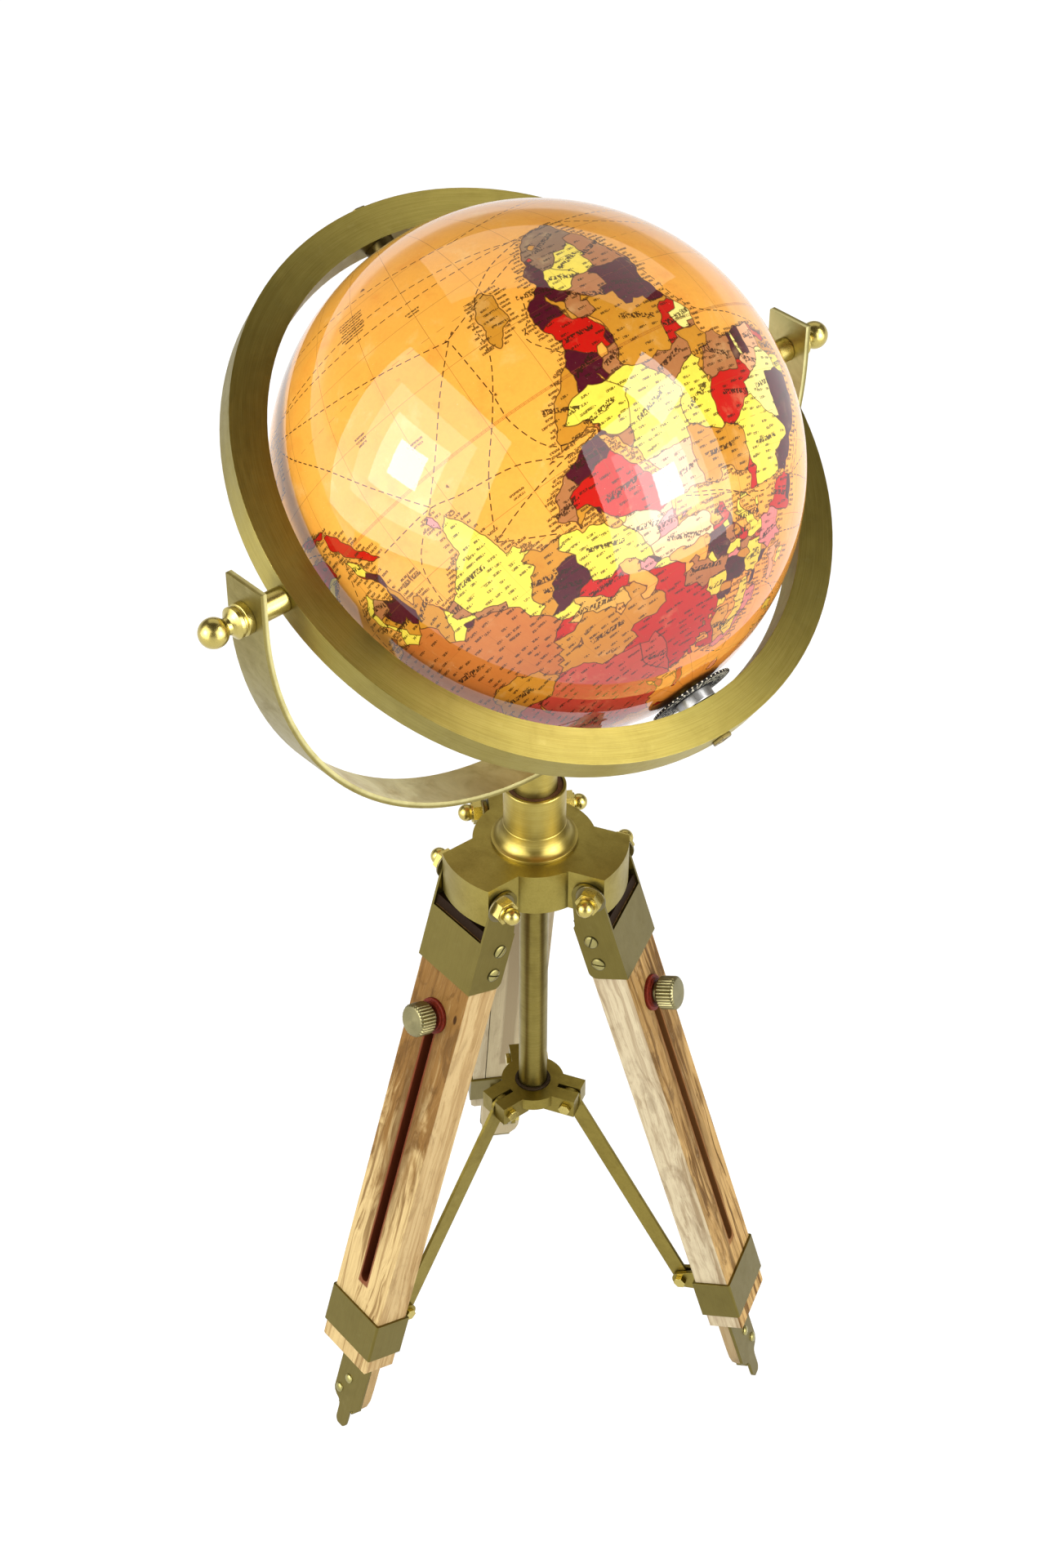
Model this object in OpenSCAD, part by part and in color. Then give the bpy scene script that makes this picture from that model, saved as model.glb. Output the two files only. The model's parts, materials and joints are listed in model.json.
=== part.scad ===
/* [Globe] */
// Outer radius of the paper globe
globe_r = 101.6; // [95:0.1:101.6]
// Thickness of each hemisphere shell
shell_t = 2.4; // [1.5:0.1:4]
// Height of the trunnion axis above the floor
trunnion_z = 482; // [476:1:490]
// Compass direction of the trunnion axis
yoke_az = 46; // [0:1:359]
// Tilt of the meridian ring about the trunnions
ring_tilt = 33.6; // [0:0.1:60]

/* [Meridian ring] */
// Inner radius of the ring
ring_ri = 108; // [107:0.5:109]
// Outer radius of the ring
ring_ro = 122.5; // [120:0.5:124]
// Width of the ring across its flat edge
ring_w = 12; // [10:0.5:14]
// Radius of the hour dial
dial_r = 17; // [12:0.5:19]

/* [Yoke] */
// Inner radius of the half-round yoke
yoke_ri = 136.4; // [132:0.2:138]
// Thickness of the yoke strip
yoke_t = 2.6; // [2:0.1:3.5]
// Width of the yoke strip
yoke_w = 20; // [14:1:22]
// How far the square ends stand above the trunnion axis
yoke_up = 14; // [8:1:18]

/* [Tripod head] */
// Top of the head casting above the floor
head_z = 301; // [301:1:301]
// Thickness of the head casting
head_t = 20; // [18:1:20]
// Radius of the central disc
disc_r = 26.1; // [24:0.1:27]
// Radius of the arched outer face of each lug
lug_r = 40; // [39:0.5:41]
// Width of each lug
lug_w = 31; // [28:0.5:31]
// Radius of the centre column
column_r = 6.3; // [5:0.1:7]

/* [Legs] */
// Lean of each leg from upright
leg_tilt = 17.2; // [17.2:0.1:17.2]
// Width of the wooden rail
rail_w = 32; // [30:0.5:32]
// Width of the sliding inner leg
tongue_w = 19.2; // [17:0.2:19.4]
// Width of the clamp slot
slot_w = 5; // [4.5:0.1:6]
// Outer radius of the clamp knob
knob_r = 7.3; // [6:0.1:8]

/* [Hidden] */
$fn = 64;

// leg directions around the column: left, right, back
leg_az = [222.5, 342.5, 102.5];
// hinge bolt centre, measured from the column axis and the floor
hinge_r = 31.8;
hinge_z = 290.9;
bolt_r = 3;
// distances down the leg from the hinge bolt
rail_top = 13;
rail_end = 256.5;
plate_top = 17.8;
plate_end = 43.7;
ferrule_top = 226.4;
ferrule_end = 246.7;
knob_s = 65;
slot_end = 212;
tongue_top = 50;
nib_s = 299.5;
nib_r = 3.6;
// offsets across the leg: outward faces of metal and wood, inner wood face
q_metal = 4.8;
q_wood = 3.6;
q_in = -12.4;
q_floor = -5.6;
q_tongue = -5.9;
q_tongue_in = -12.2;
half_w = rail_w / 2;
side_t = 1.2;
metal_w = half_w + side_t;
// strut pivots, as [distance from column axis, height]
lug_s = 240;
lug_q = -28;
pin_low = [hinge_r + lug_s * sin(leg_tilt) + lug_q * cos(leg_tilt), hinge_z - lug_s * cos(leg_tilt) + lug_q * sin(leg_tilt)];
pin_high = [18.5, 152];
spider_top = 157;
yoke_ro = yoke_ri + yoke_t;
socket_z = head_z + 29;
stem_r = 9.4;

// frame of the meridian ring: X along the trunnions, Z across the ring's flat
module ring_frame() {
  translate([0, 0, trunnion_z]) rotate([0, 0, yoke_az]) rotate([ring_tilt, 0, 0]) children();
}
// frame of the polar axis: Z towards the north pole
module polar_frame() { ring_frame() rotate([90, 0, 0]) children(); }
// frame of the yoke: X along the trunnions, Z up
module yoke_frame() { translate([0, 0, trunnion_z]) rotate([0, 0, yoke_az]) children(); }
// frame of a leg: X outward across the leg, Y sideways, Z back up the leg to the hinge
module leg_frame(k) {
  rotate([0, 0, leg_az[k]]) translate([hinge_r, 0, hinge_z]) rotate([0, -leg_tilt, 0]) children();
}
// upright frame turned to a leg's direction
module side_frame(k) { rotate([0, 0, leg_az[k]]) children(); }
// cylinder along Y from y0 to y1
module along_y(r, y0, y1, fn = 64) { translate([0, y0, 0]) rotate([-90, 0, 0]) cylinder(r = r, h = y1 - y0, $fn = fn); }
// cylinder along X from x0 to x1
module along_x(r, x0, x1, fn = 64) { translate([x0, 0, 0]) rotate([0, 90, 0]) cylinder(r = r, h = x1 - x0, $fn = fn); }

module half_shell(up) {
  rotate_extrude($fn = 180) intersection() {
    difference() {
      circle(r = globe_r, $fn = 180);
      circle(r = globe_r - shell_t, $fn = 180);
    }
    translate([5.05, up > 0 ? 0 : -150]) square([150, 150]);
  }
}
module globe_north_shell() { color("sandybrown") polar_frame() half_shell(1); }
module globe_south_shell() { color("peachpuff") polar_frame() half_shell(-1); }

module pole_bushings() {
  color("goldenrod") polar_frame() for (m = [0, 1]) mirror([0, 0, m])
    rotate_extrude() polygon([[2.06, 95], [5, 95], [5, globe_r + 0.1], [7, globe_r + 0.1], [7, globe_r + 0.7], [2.06, globe_r + 0.7]]);
}

module meridian_ring() {
  color("darkkhaki") ring_frame() difference() {
    rotate_extrude($fn = 200) translate([ring_ri, -ring_w / 2]) square([ring_ro - ring_ri, ring_w]);
    along_x(2.55, -130, 130);
    along_y(2.05, -130, 130);
  }
}
module axle_rod() { color("silver") polar_frame() translate([0, 0, -123.6]) cylinder(r = 2, h = 247.2); }
module axle_nuts() {
  color("darkgoldenrod") polar_frame() for (m = [0, 1]) mirror([0, 0, m])
    difference() {
      translate([0, 0, ring_ro]) cylinder(r = 4.4, h = 1.4, $fn = 6);
      translate([0, 0, ring_ro - 1]) cylinder(r = 2.05, h = 6);
    }
}
module pole_spacers() {
  color("gray") polar_frame() {
    rotate_extrude() polygon([[2.05, 103.6], [7.6, 103.6], [7.6, 107.7], [2.05, 107.7]]);
    rotate_extrude() polygon([[2.05, -107.8], [6.2, -107.8], [6.2, -102.7], [2.05, -102.7]]);
  }
}
module hour_dial() {
  color("dimgray") polar_frame()
    rotate_extrude($fn = 96) polygon([[2.05, 102.6], [dial_r, 102.6], [dial_r, 103.6], [2.05, 103.6]]);
}
module trunnion_studs() {
  color("goldenrod") ring_frame() for (s = [-1, 1]) scale([1, 1, 1]) rotate([0, 0, s > 0 ? 0 : 180]) along_x(2.5, 113, 149.5);
}
module trunnion_spacers() {
  color("gold") ring_frame() for (a = [0, 180]) rotate([0, 0, a]) difference() {
    along_x(5, ring_ro, yoke_ri - 0.1);
    along_x(2.55, ring_ro - 2, yoke_ri + 2);
  }
}

module yoke() {
  color("darkkhaki") yoke_frame() difference() {
    rotate([90, 0, 0]) linear_extrude(yoke_w, center = true) {
      intersection() {
        difference() {
          circle(r = yoke_ro, $fn = 200);
          circle(r = yoke_ri, $fn = 200);
        }
        translate([-150, -150]) square([300, 150]);
      }
      for (s = [yoke_ri, -yoke_ro]) translate([s, -0.01]) square([yoke_t, yoke_up + 0.01]);
    }
    along_x(2.58, -145, 145);
    translate([0, 0, -yoke_ro - 5]) cylinder(r = 2.55, h = 15);
  }
}
module yoke_stem() {
  color("goldenrod") difference() {
    union() {
      translate([0, 0, head_z + 5.6]) cylinder(r1 = stem_r - 0.5, r2 = stem_r, h = 0.5);
      translate([0, 0, head_z + 6.1]) cylinder(r = stem_r, h = trunnion_z - yoke_ro + 1.5 - head_z - 6.1);
    }
    yoke_frame() along_y(yoke_ro, -20, 20, 200);
    translate([0, 0, trunnion_z - yoke_ro - 16]) cylinder(r = 2.55, h = 30);
  }
}
module yoke_screw() {
  color("goldenrod") translate([0, 0, trunnion_z - yoke_ri]) {
    translate([0, 0, -17]) cylinder(r = 2.5, h = 17.2);
    difference() {
      translate([0, 0, 0.15]) rotate_extrude() polygon([[0, 0], [5.2, 0], [5.2, 0.8], [4.2, 2.0], [2.4, 2.6], [0, 2.8]]);
      translate([-6, -0.6, 1.8]) cube([12, 1.2, 3]);
    }
  }
}
// ball finial nut: grooved collar, neck and ball, threaded on the trunnion stud
module finial(a) {
  color("gold") ring_frame() rotate([0, 0, a]) difference() {
    union() {
      rotate([0, 90, 0]) rotate_extrude() polygon([[0, 139.1], [6.3, 139.1], [6.3, 141.6], [5.5, 142], [5.5, 142.7], [6.1, 143.1],
        [6.1, 144.6], [4.6, 145.6], [3.4, 146.8], [3.2, 148.5], [0, 149]]);
      translate([153, 0, 0]) sphere(r = 5.7, $fn = 64);
    }
    along_x(2.56, 138, 150);
  }
}
module finial_left() { finial(180); }
module finial_right() { finial(0); }

module head_casting() {
  color("olive") difference() {
    translate([0, 0, head_z - head_t]) union() {
      cylinder(r = disc_r, h = head_t, $fn = 128);
      intersection() {
        cylinder(r = lug_r, h = head_t, $fn = 128);
        for (k = [0:2]) rotate([0, 0, leg_az[k]]) translate([8, -lug_w / 2, 0]) cube([40, lug_w, head_t]);
      }
    }
    for (k = [0:2]) side_frame(k) translate([hinge_r, 0, hinge_z]) along_y(bolt_r + 0.05, -25, 25);
    translate([0, 0, head_z - head_t - 1]) cylinder(r = column_r + 0.05, h = head_t - 5);
  }
}
module stem_socket() {
  color("goldenrod") rotate_extrude($fn = 128) difference() {
    polygon(concat(
      [[0, head_z], [18.4, head_z], [18.4, head_z + 1.4]],
      [for (i = [0:8]) let (a = i * 90 / 8) [13.4 + 5 * (1 - sin(a)) , head_z + 1.4 + 7.4 * (1 - cos(a))]],
      [[13.4, head_z + 9], [13.2, head_z + 9.3], [13.2, socket_z - 0.4], [12.8, socket_z], [11.95, socket_z], [11.95, head_z + 5], [0, head_z + 5]]));
  }
}
module socket_bush() {
  color("saddlebrown") translate([0, 0, head_z + 5]) difference() {
    cylinder(r = 11.9, h = 23.4);
    translate([0, 0, -1]) cylinder(r = stem_r + 0.06, h = 30);
  }
}
module center_column() { color("darkgoldenrod") translate([0, 0, 145.5]) cylinder(r = column_r, h = head_z - 6 - 145.5); }
module hinge_bolts() {
  color("gold") for (k = [0:2]) side_frame(k) translate([hinge_r, 0, hinge_z]) along_y(bolt_r, -22.4, 22.4);
}
module hinge_washers() {
  color("silver") for (k = [0:2]) side_frame(k) translate([hinge_r, 0, hinge_z]) for (a = [0, 180]) rotate([0, 0, a]) difference() {
    along_y(6.6, metal_w + 0.05, metal_w + 0.85);
    along_y(bolt_r + 0.05, metal_w - 1, metal_w + 2);
  }
}
module acorn_nuts() {
  color("gold") for (k = [0:2]) side_frame(k) translate([hinge_r, 0, hinge_z]) for (a = [0, 180]) rotate([0, 0, a]) difference() {
    union() {
      along_y(5.5, metal_w + 0.85, metal_w + 4.7, 6);
      along_y(4.4, metal_w + 4.6, metal_w + 5.4);
      translate([0, metal_w + 7.3, 0]) sphere(r = 3.7);
      along_y(3.0, metal_w + 5, metal_w + 7);
    }
    along_y(bolt_r + 0.05, metal_w, 22.5);
  }
}

module leg_rail(k) {
  color("burlywood") leg_frame(k) difference() {
    translate([q_in, -half_w, -rail_end]) cube([q_wood - q_in, rail_w, rail_end - rail_top]);
    // channel for the sliding leg
    translate([q_in - 1, -tongue_w / 2 - 0.4, -rail_end - 1]) cube([q_floor - q_in + 1, tongue_w + 0.8, rail_end - tongue_top + 6]);
    // slot for the clamp screw
    translate([q_floor - 1, -slot_w / 2, -slot_end + slot_w / 2]) cube([12, slot_w, slot_end - knob_s]);
    for (s = [slot_end - slot_w / 2, knob_s]) translate([0, 0, -s]) along_x(slot_w / 2, q_floor - 1, q_wood + 1);
    // chamfered lower corners and outer edge
    for (m = [-1, 1]) translate([q_in - 1, m * half_w, -rail_end]) rotate([45, 0, 0]) translate([0, -1.2, -1.2]) cube([30, 2.4, 2.4]);
    translate([q_wood, -20, -rail_end]) rotate([0, 45, 0]) translate([-0.8, 0, -0.8]) cube([1.6, 40, 1.6]);
    // pilot holes for the bracket screws
    for (s = [23.6, 35.6]) translate([-6.8, 0, -s]) for (a = [0, 180]) rotate([0, 0, a]) along_y(1.55, 10.5, 17);
  }
}
module leg_rail_left() { leg_rail(0); }
module leg_rail_right() { leg_rail(1); }
module leg_rail_back() { leg_rail(2); }

module ear_outline() {
  difference() {
    union() {
      polygon([[q_metal, -plate_end], [q_metal, 0], [-8.8, 0], [-12.0, -15.2], [-12.8, -16], [-12.8, -plate_end + 3.5], [-9.3, -plate_end]]);
      translate([-2, 0]) circle(r = 6.8);
      translate([-9.3, -plate_end + 3.5]) circle(r = 3.5);
    }
    circle(r = bolt_r + 0.06);
    for (s = [23.6, 35.6]) translate([-6.8, -s]) circle(r = 1.6);
  }
}
module hinge_bracket(k) {
  color("darkkhaki") leg_frame(k) {
    translate([q_wood, -metal_w, -plate_end]) cube([q_metal - q_wood, 2 * metal_w, plate_end - plate_top]);
    for (y = [half_w, -metal_w]) translate([0, y, 0]) rotate([90, 0, 0]) mirror([0, 0, 1]) linear_extrude(side_t) ear_outline();
  }
}
module hinge_bracket_left() { hinge_bracket(0); }
module hinge_bracket_right() { hinge_bracket(1); }
module hinge_bracket_back() { hinge_bracket(2); }

module bracket_screws(k) {
  color("tan") leg_frame(k) for (s = [23.6, 35.6], a = [0, 180]) translate([-6.8, 0, -s]) rotate([0, 0, a]) difference() {
    union() {
      along_y(1.5, 11, metal_w + 0.1);
      translate([0, metal_w, 0]) rotate([-90, 0, 0]) rotate_extrude() polygon([[0, 0], [3.1, 0], [3.1, 0.35], [2.2, 0.75], [0, 0.95]]);
    }
    rotate([0, 28 + 9 * s, 0]) translate([-4, metal_w + 0.35, -0.35]) cube([8, 3, 0.7]);
  }
}
module bracket_screws_left() { bracket_screws(0); }
module bracket_screws_right() { bracket_screws(1); }
module bracket_screws_back() { bracket_screws(2); }

module ferrule(k) {
  color("darkkhaki") leg_frame(k) difference() {
    translate([q_in - 1.3, -metal_w, -ferrule_end]) cube([q_metal - q_in + 1.3, 2 * metal_w, ferrule_end - ferrule_top]);
    translate([q_in, -half_w, -ferrule_end - 1]) cube([q_wood - q_in, rail_w, ferrule_end - ferrule_top + 2]);
  }
}
module ferrule_left() { ferrule(0); }
module ferrule_right() { ferrule(1); }
module ferrule_back() { ferrule(2); }

module strut_lug(k) {
  color("olive") leg_frame(k) difference() {
    union() {
      translate([q_in - 2.9, -7, -lug_s - 5.5]) cube([1.6, 14, 12]);
      for (y = [1.1, -3.1]) translate([0, y, 0]) rotate([90, 0, 0]) mirror([0, 0, 1]) linear_extrude(2) {
        polygon([[q_in - 2, -lug_s - 5.5], [q_in - 2, -lug_s + 6.5], [lug_q, -lug_s + 4.2], [lug_q, -lug_s - 4.2]]);
        translate([lug_q, -lug_s]) circle(r = 4.2);
      }
    }
    translate([lug_q, 0, -lug_s]) along_y(1.75, -9, 9);
  }
}
module strut_lug_left() { strut_lug(0); }
module strut_lug_right() { strut_lug(1); }
module strut_lug_back() { strut_lug(2); }

// cross pin with a six-sided head on each end
module cross_bolt(r, half, head) {
  along_y(r, -half - 0.5, half + 0.5);
  for (a = [0, 180]) rotate([0, 0, a]) along_y(head, half + 0.05, half + 2, 6);
}
module lug_bolt(k) { color("gold") leg_frame(k) translate([lug_q, 0, -lug_s]) cross_bolt(1.7, 3.1, 2.9); }
module lug_bolt_left() { lug_bolt(0); }
module lug_bolt_right() { lug_bolt(1); }
module lug_bolt_back() { lug_bolt(2); }

module inner_leg(k) {
  color("peru") leg_frame(k) difference() {
    translate([q_tongue, 0, 0]) rotate([90, 0, -90]) linear_extrude(q_tongue - q_tongue_in)
      polygon([[-9.6, -tongue_top], [-9.6, -276], [-9.3, -283], [-8, -287.6], [-5.2, -291.6],
               [5.2, -291.6], [8, -287.6], [9.3, -283], [9.6, -276], [9.6, -tongue_top]]);
    // rebate for the shoe
    translate([q_tongue - 1.5, -12, -300]) cube([5, 24, 43.5]);
    translate([0, 0, -knob_s]) along_x(2.06, -14, 0);
    for (p = shoe_screw_spots(k)) translate([0, p[0], -p[1]]) along_x(1.02, -11, 0);
  }
}
module inner_leg_left() { inner_leg(0); }
module inner_leg_right() { inner_leg(1); }
module inner_leg_back() { inner_leg(2); }

// the two shoe screws sit towards the outer side of the stand
function shoe_screw_spots(k) = [for (p = [[1.8, 276], [6.2, 284.8]]) [(k == 0 ? -1 : 1) * p[0], p[1]]];
module shoe_outline() {
  polygon([[-9.6, -256.5], [-9.6, -286.4], [-8.8, -288.2], [-7.2, -289.6], [-5, -290.7], [-4.1, -291.8], [-3.7, -293.6], [-nib_r, -nib_s],
           [nib_r, -nib_s], [3.7, -293.6], [4.1, -291.8], [5, -290.7], [7.2, -289.6], [8.8, -288.2], [9.6, -286.4], [9.6, -256.5]]);
  translate([0, -nib_s]) circle(r = nib_r);
}
module foot_shoe(k) {
  color("olive") intersection() {
    leg_frame(k) difference() {
      union() {
        translate([q_tongue, 0, 0]) rotate([90, 0, -90]) linear_extrude(1.5) shoe_outline();
        // sole folded under the end of the inner leg
        translate([q_tongue_in, -5.2, -292.9]) cube([q_tongue - 0.7 - q_tongue_in, 10.4, 1.3]);
      }
      for (p = shoe_screw_spots(k)) translate([0, p[0], -p[1]]) along_x(1.1, -11, 0);
    }
    translate([-200, -200, 0]) cube(400);
  }
}
module foot_shoe_left() { foot_shoe(0); }
module foot_shoe_right() { foot_shoe(1); }
module foot_shoe_back() { foot_shoe(2); }

module shoe_screws(k) {
  color("gold") leg_frame(k) for (p = shoe_screw_spots(k)) translate([0, p[0], -p[1]]) {
    along_x(1, -10.8, q_tongue + 0.1);
    translate([q_tongue, 0, 0]) rotate([0, 90, 0]) rotate_extrude() polygon([[0, 0], [2.4, 0], [2.2, 0.5], [1.3, 0.95], [0, 1.1]]);
  }
}
module shoe_screws_left() { shoe_screws(0); }
module shoe_screws_right() { shoe_screws(1); }
module shoe_screws_back() { shoe_screws(2); }

module clamp_washer(k) {
  color("brown") leg_frame(k) translate([0, 0, -knob_s]) rotate([0, 90, 0])
    rotate_extrude() polygon([[2.2, q_wood + 0.05], [7.9, q_wood + 0.05], [7.9, q_wood + 1.4], [7.2, q_wood + 1.7], [6.3, q_wood + 1.7], [6.3, q_wood + 2.5], [2.2, q_wood + 2.5]]);
}
module clamp_washer_left() { clamp_washer(0); }
module clamp_washer_right() { clamp_washer(1); }
module clamp_washer_back() { clamp_washer(2); }

module clamp_knob(k) {
  color("khaki") leg_frame(k) translate([0, 0, -knob_s]) rotate([0, 90, 0])
    rotate_extrude() polygon([[0, -11], [2, -11], [2, 6.15], [4.6, 6.15], [4.6, 7.6], [6.4, 7.9], [knob_r, 8.6], [knob_r, 15.2], [6.5, 16.2], [0, 16.3]]);
}
module clamp_knob_left() { clamp_knob(0); }
module clamp_knob_right() { clamp_knob(1); }
module clamp_knob_back() { clamp_knob(2); }

module strut(k) {
  run = pin_high - pin_low;
  len = norm(run);
  color("darkgoldenrod") side_frame(k) translate([pin_low[0], 0, pin_low[1]]) rotate([0, atan2(run[0], run[1]), 0])
    rotate([90, 0, 0]) linear_extrude(1.6, center = true) difference() {
      union() {
        translate([-4, 0]) square([8, len]);
        circle(r = 4);
        translate([0, len]) circle(r = 5);
      }
      circle(r = 1.76);
      translate([0, len]) circle(r = 3.2);
    }
}
module strut_left() { strut(0); }
module strut_right() { strut(1); }
module strut_back() { strut(2); }

module spider() {
  color("olive") difference() {
    union() {
      translate([0, 0, spider_top - 6]) cylinder(r = 14.2, h = 6);
      for (k = [0:2]) side_frame(k) translate([8.5, -7.6, spider_top - 9.5]) cube([14.2, 15.2, 9.5]);
    }
    translate([0, 0, spider_top - 20]) cylinder(r = 8.1, h = 30);
    for (k = [0:2]) side_frame(k) {
      translate([12.2, -1.1, spider_top - 20]) cube([14, 2.2, 30]);
      translate([pin_high[0], 0, pin_high[1]]) along_y(1.55, -10, 10);
    }
  }
}
module spider_bolts() {
  color("gold") for (k = [0:2]) side_frame(k) translate([pin_high[0], 0, pin_high[1]]) cross_bolt(1.5, 7.6, 2.8);
}

globe_north_shell();
globe_south_shell();
pole_bushings();
meridian_ring();
axle_rod();
axle_nuts();
pole_spacers();
hour_dial();
trunnion_studs();
trunnion_spacers();
yoke();
yoke_stem();
yoke_screw();
finial_left();
finial_right();
head_casting();
stem_socket();
socket_bush();
center_column();
hinge_bolts();
hinge_washers();
acorn_nuts();
leg_rail_left();
leg_rail_right();
leg_rail_back();
hinge_bracket_left();
hinge_bracket_right();
hinge_bracket_back();
bracket_screws_left();
bracket_screws_right();
bracket_screws_back();
ferrule_left();
ferrule_right();
ferrule_back();
strut_lug_left();
strut_lug_right();
strut_lug_back();
lug_bolt_left();
lug_bolt_right();
lug_bolt_back();
inner_leg_left();
inner_leg_right();
inner_leg_back();
foot_shoe_left();
foot_shoe_right();
foot_shoe_back();
shoe_screws_left();
shoe_screws_right();
shoe_screws_back();
clamp_washer_left();
clamp_washer_right();
clamp_washer_back();
clamp_knob_left();
clamp_knob_right();
clamp_knob_back();
strut_left();
strut_right();
strut_back();
spider();
spider_bolts();
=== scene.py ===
"""Desktop globe on a folding tripod stand: finishes, fine shapes, floor, light and camera."""
import math
import bpy, bmesh, json
import numpy as np
from mathutils import Matrix, Vector, geometry

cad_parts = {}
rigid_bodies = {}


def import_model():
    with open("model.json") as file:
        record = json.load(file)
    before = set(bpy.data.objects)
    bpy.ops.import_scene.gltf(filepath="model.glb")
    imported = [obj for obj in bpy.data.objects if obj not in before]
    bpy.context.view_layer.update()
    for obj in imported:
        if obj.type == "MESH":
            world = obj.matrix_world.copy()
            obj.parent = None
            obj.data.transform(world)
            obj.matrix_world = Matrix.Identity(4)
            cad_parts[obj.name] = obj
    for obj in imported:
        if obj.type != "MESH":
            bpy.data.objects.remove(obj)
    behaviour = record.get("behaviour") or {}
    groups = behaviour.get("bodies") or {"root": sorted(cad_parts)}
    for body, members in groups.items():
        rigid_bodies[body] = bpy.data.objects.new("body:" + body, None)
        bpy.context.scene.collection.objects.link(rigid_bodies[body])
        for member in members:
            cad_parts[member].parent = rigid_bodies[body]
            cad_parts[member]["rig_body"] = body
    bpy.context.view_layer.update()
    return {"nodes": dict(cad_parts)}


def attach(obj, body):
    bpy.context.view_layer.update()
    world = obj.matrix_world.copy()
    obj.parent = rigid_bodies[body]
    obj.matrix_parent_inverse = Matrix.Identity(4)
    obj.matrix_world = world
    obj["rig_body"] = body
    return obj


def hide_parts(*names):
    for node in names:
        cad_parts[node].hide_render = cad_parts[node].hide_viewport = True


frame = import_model()
MM = 0.001

# ------------------------------------------------------------------ frames (mm)
def T(x, y, z): return Matrix.Translation((x, y, z))
def RX(a): return Matrix.Rotation(math.radians(a), 4, "X")
def RY(a): return Matrix.Rotation(math.radians(a), 4, "Y")
def RZ(a): return Matrix.Rotation(math.radians(a), 4, "Z")

LEG_AZ = {"left": 222.5, "right": 342.5, "back": 102.5}
F_RING = T(0, 0, 482) @ RZ(46) @ RX(33.6)
F_POLAR = F_RING @ RX(90)
F_YOKE = T(0, 0, 482) @ RZ(46)
F_GLOBE = F_POLAR @ RZ(68.2)
F_LEG = {k: RZ(a) @ T(31.8, 0, 290.9) @ RY(-17.2) for k, a in LEG_AZ.items()}
F_SIDE = {k: RZ(a) for k, a in LEG_AZ.items()}
F_ROOT = Matrix.Identity(4)

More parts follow.
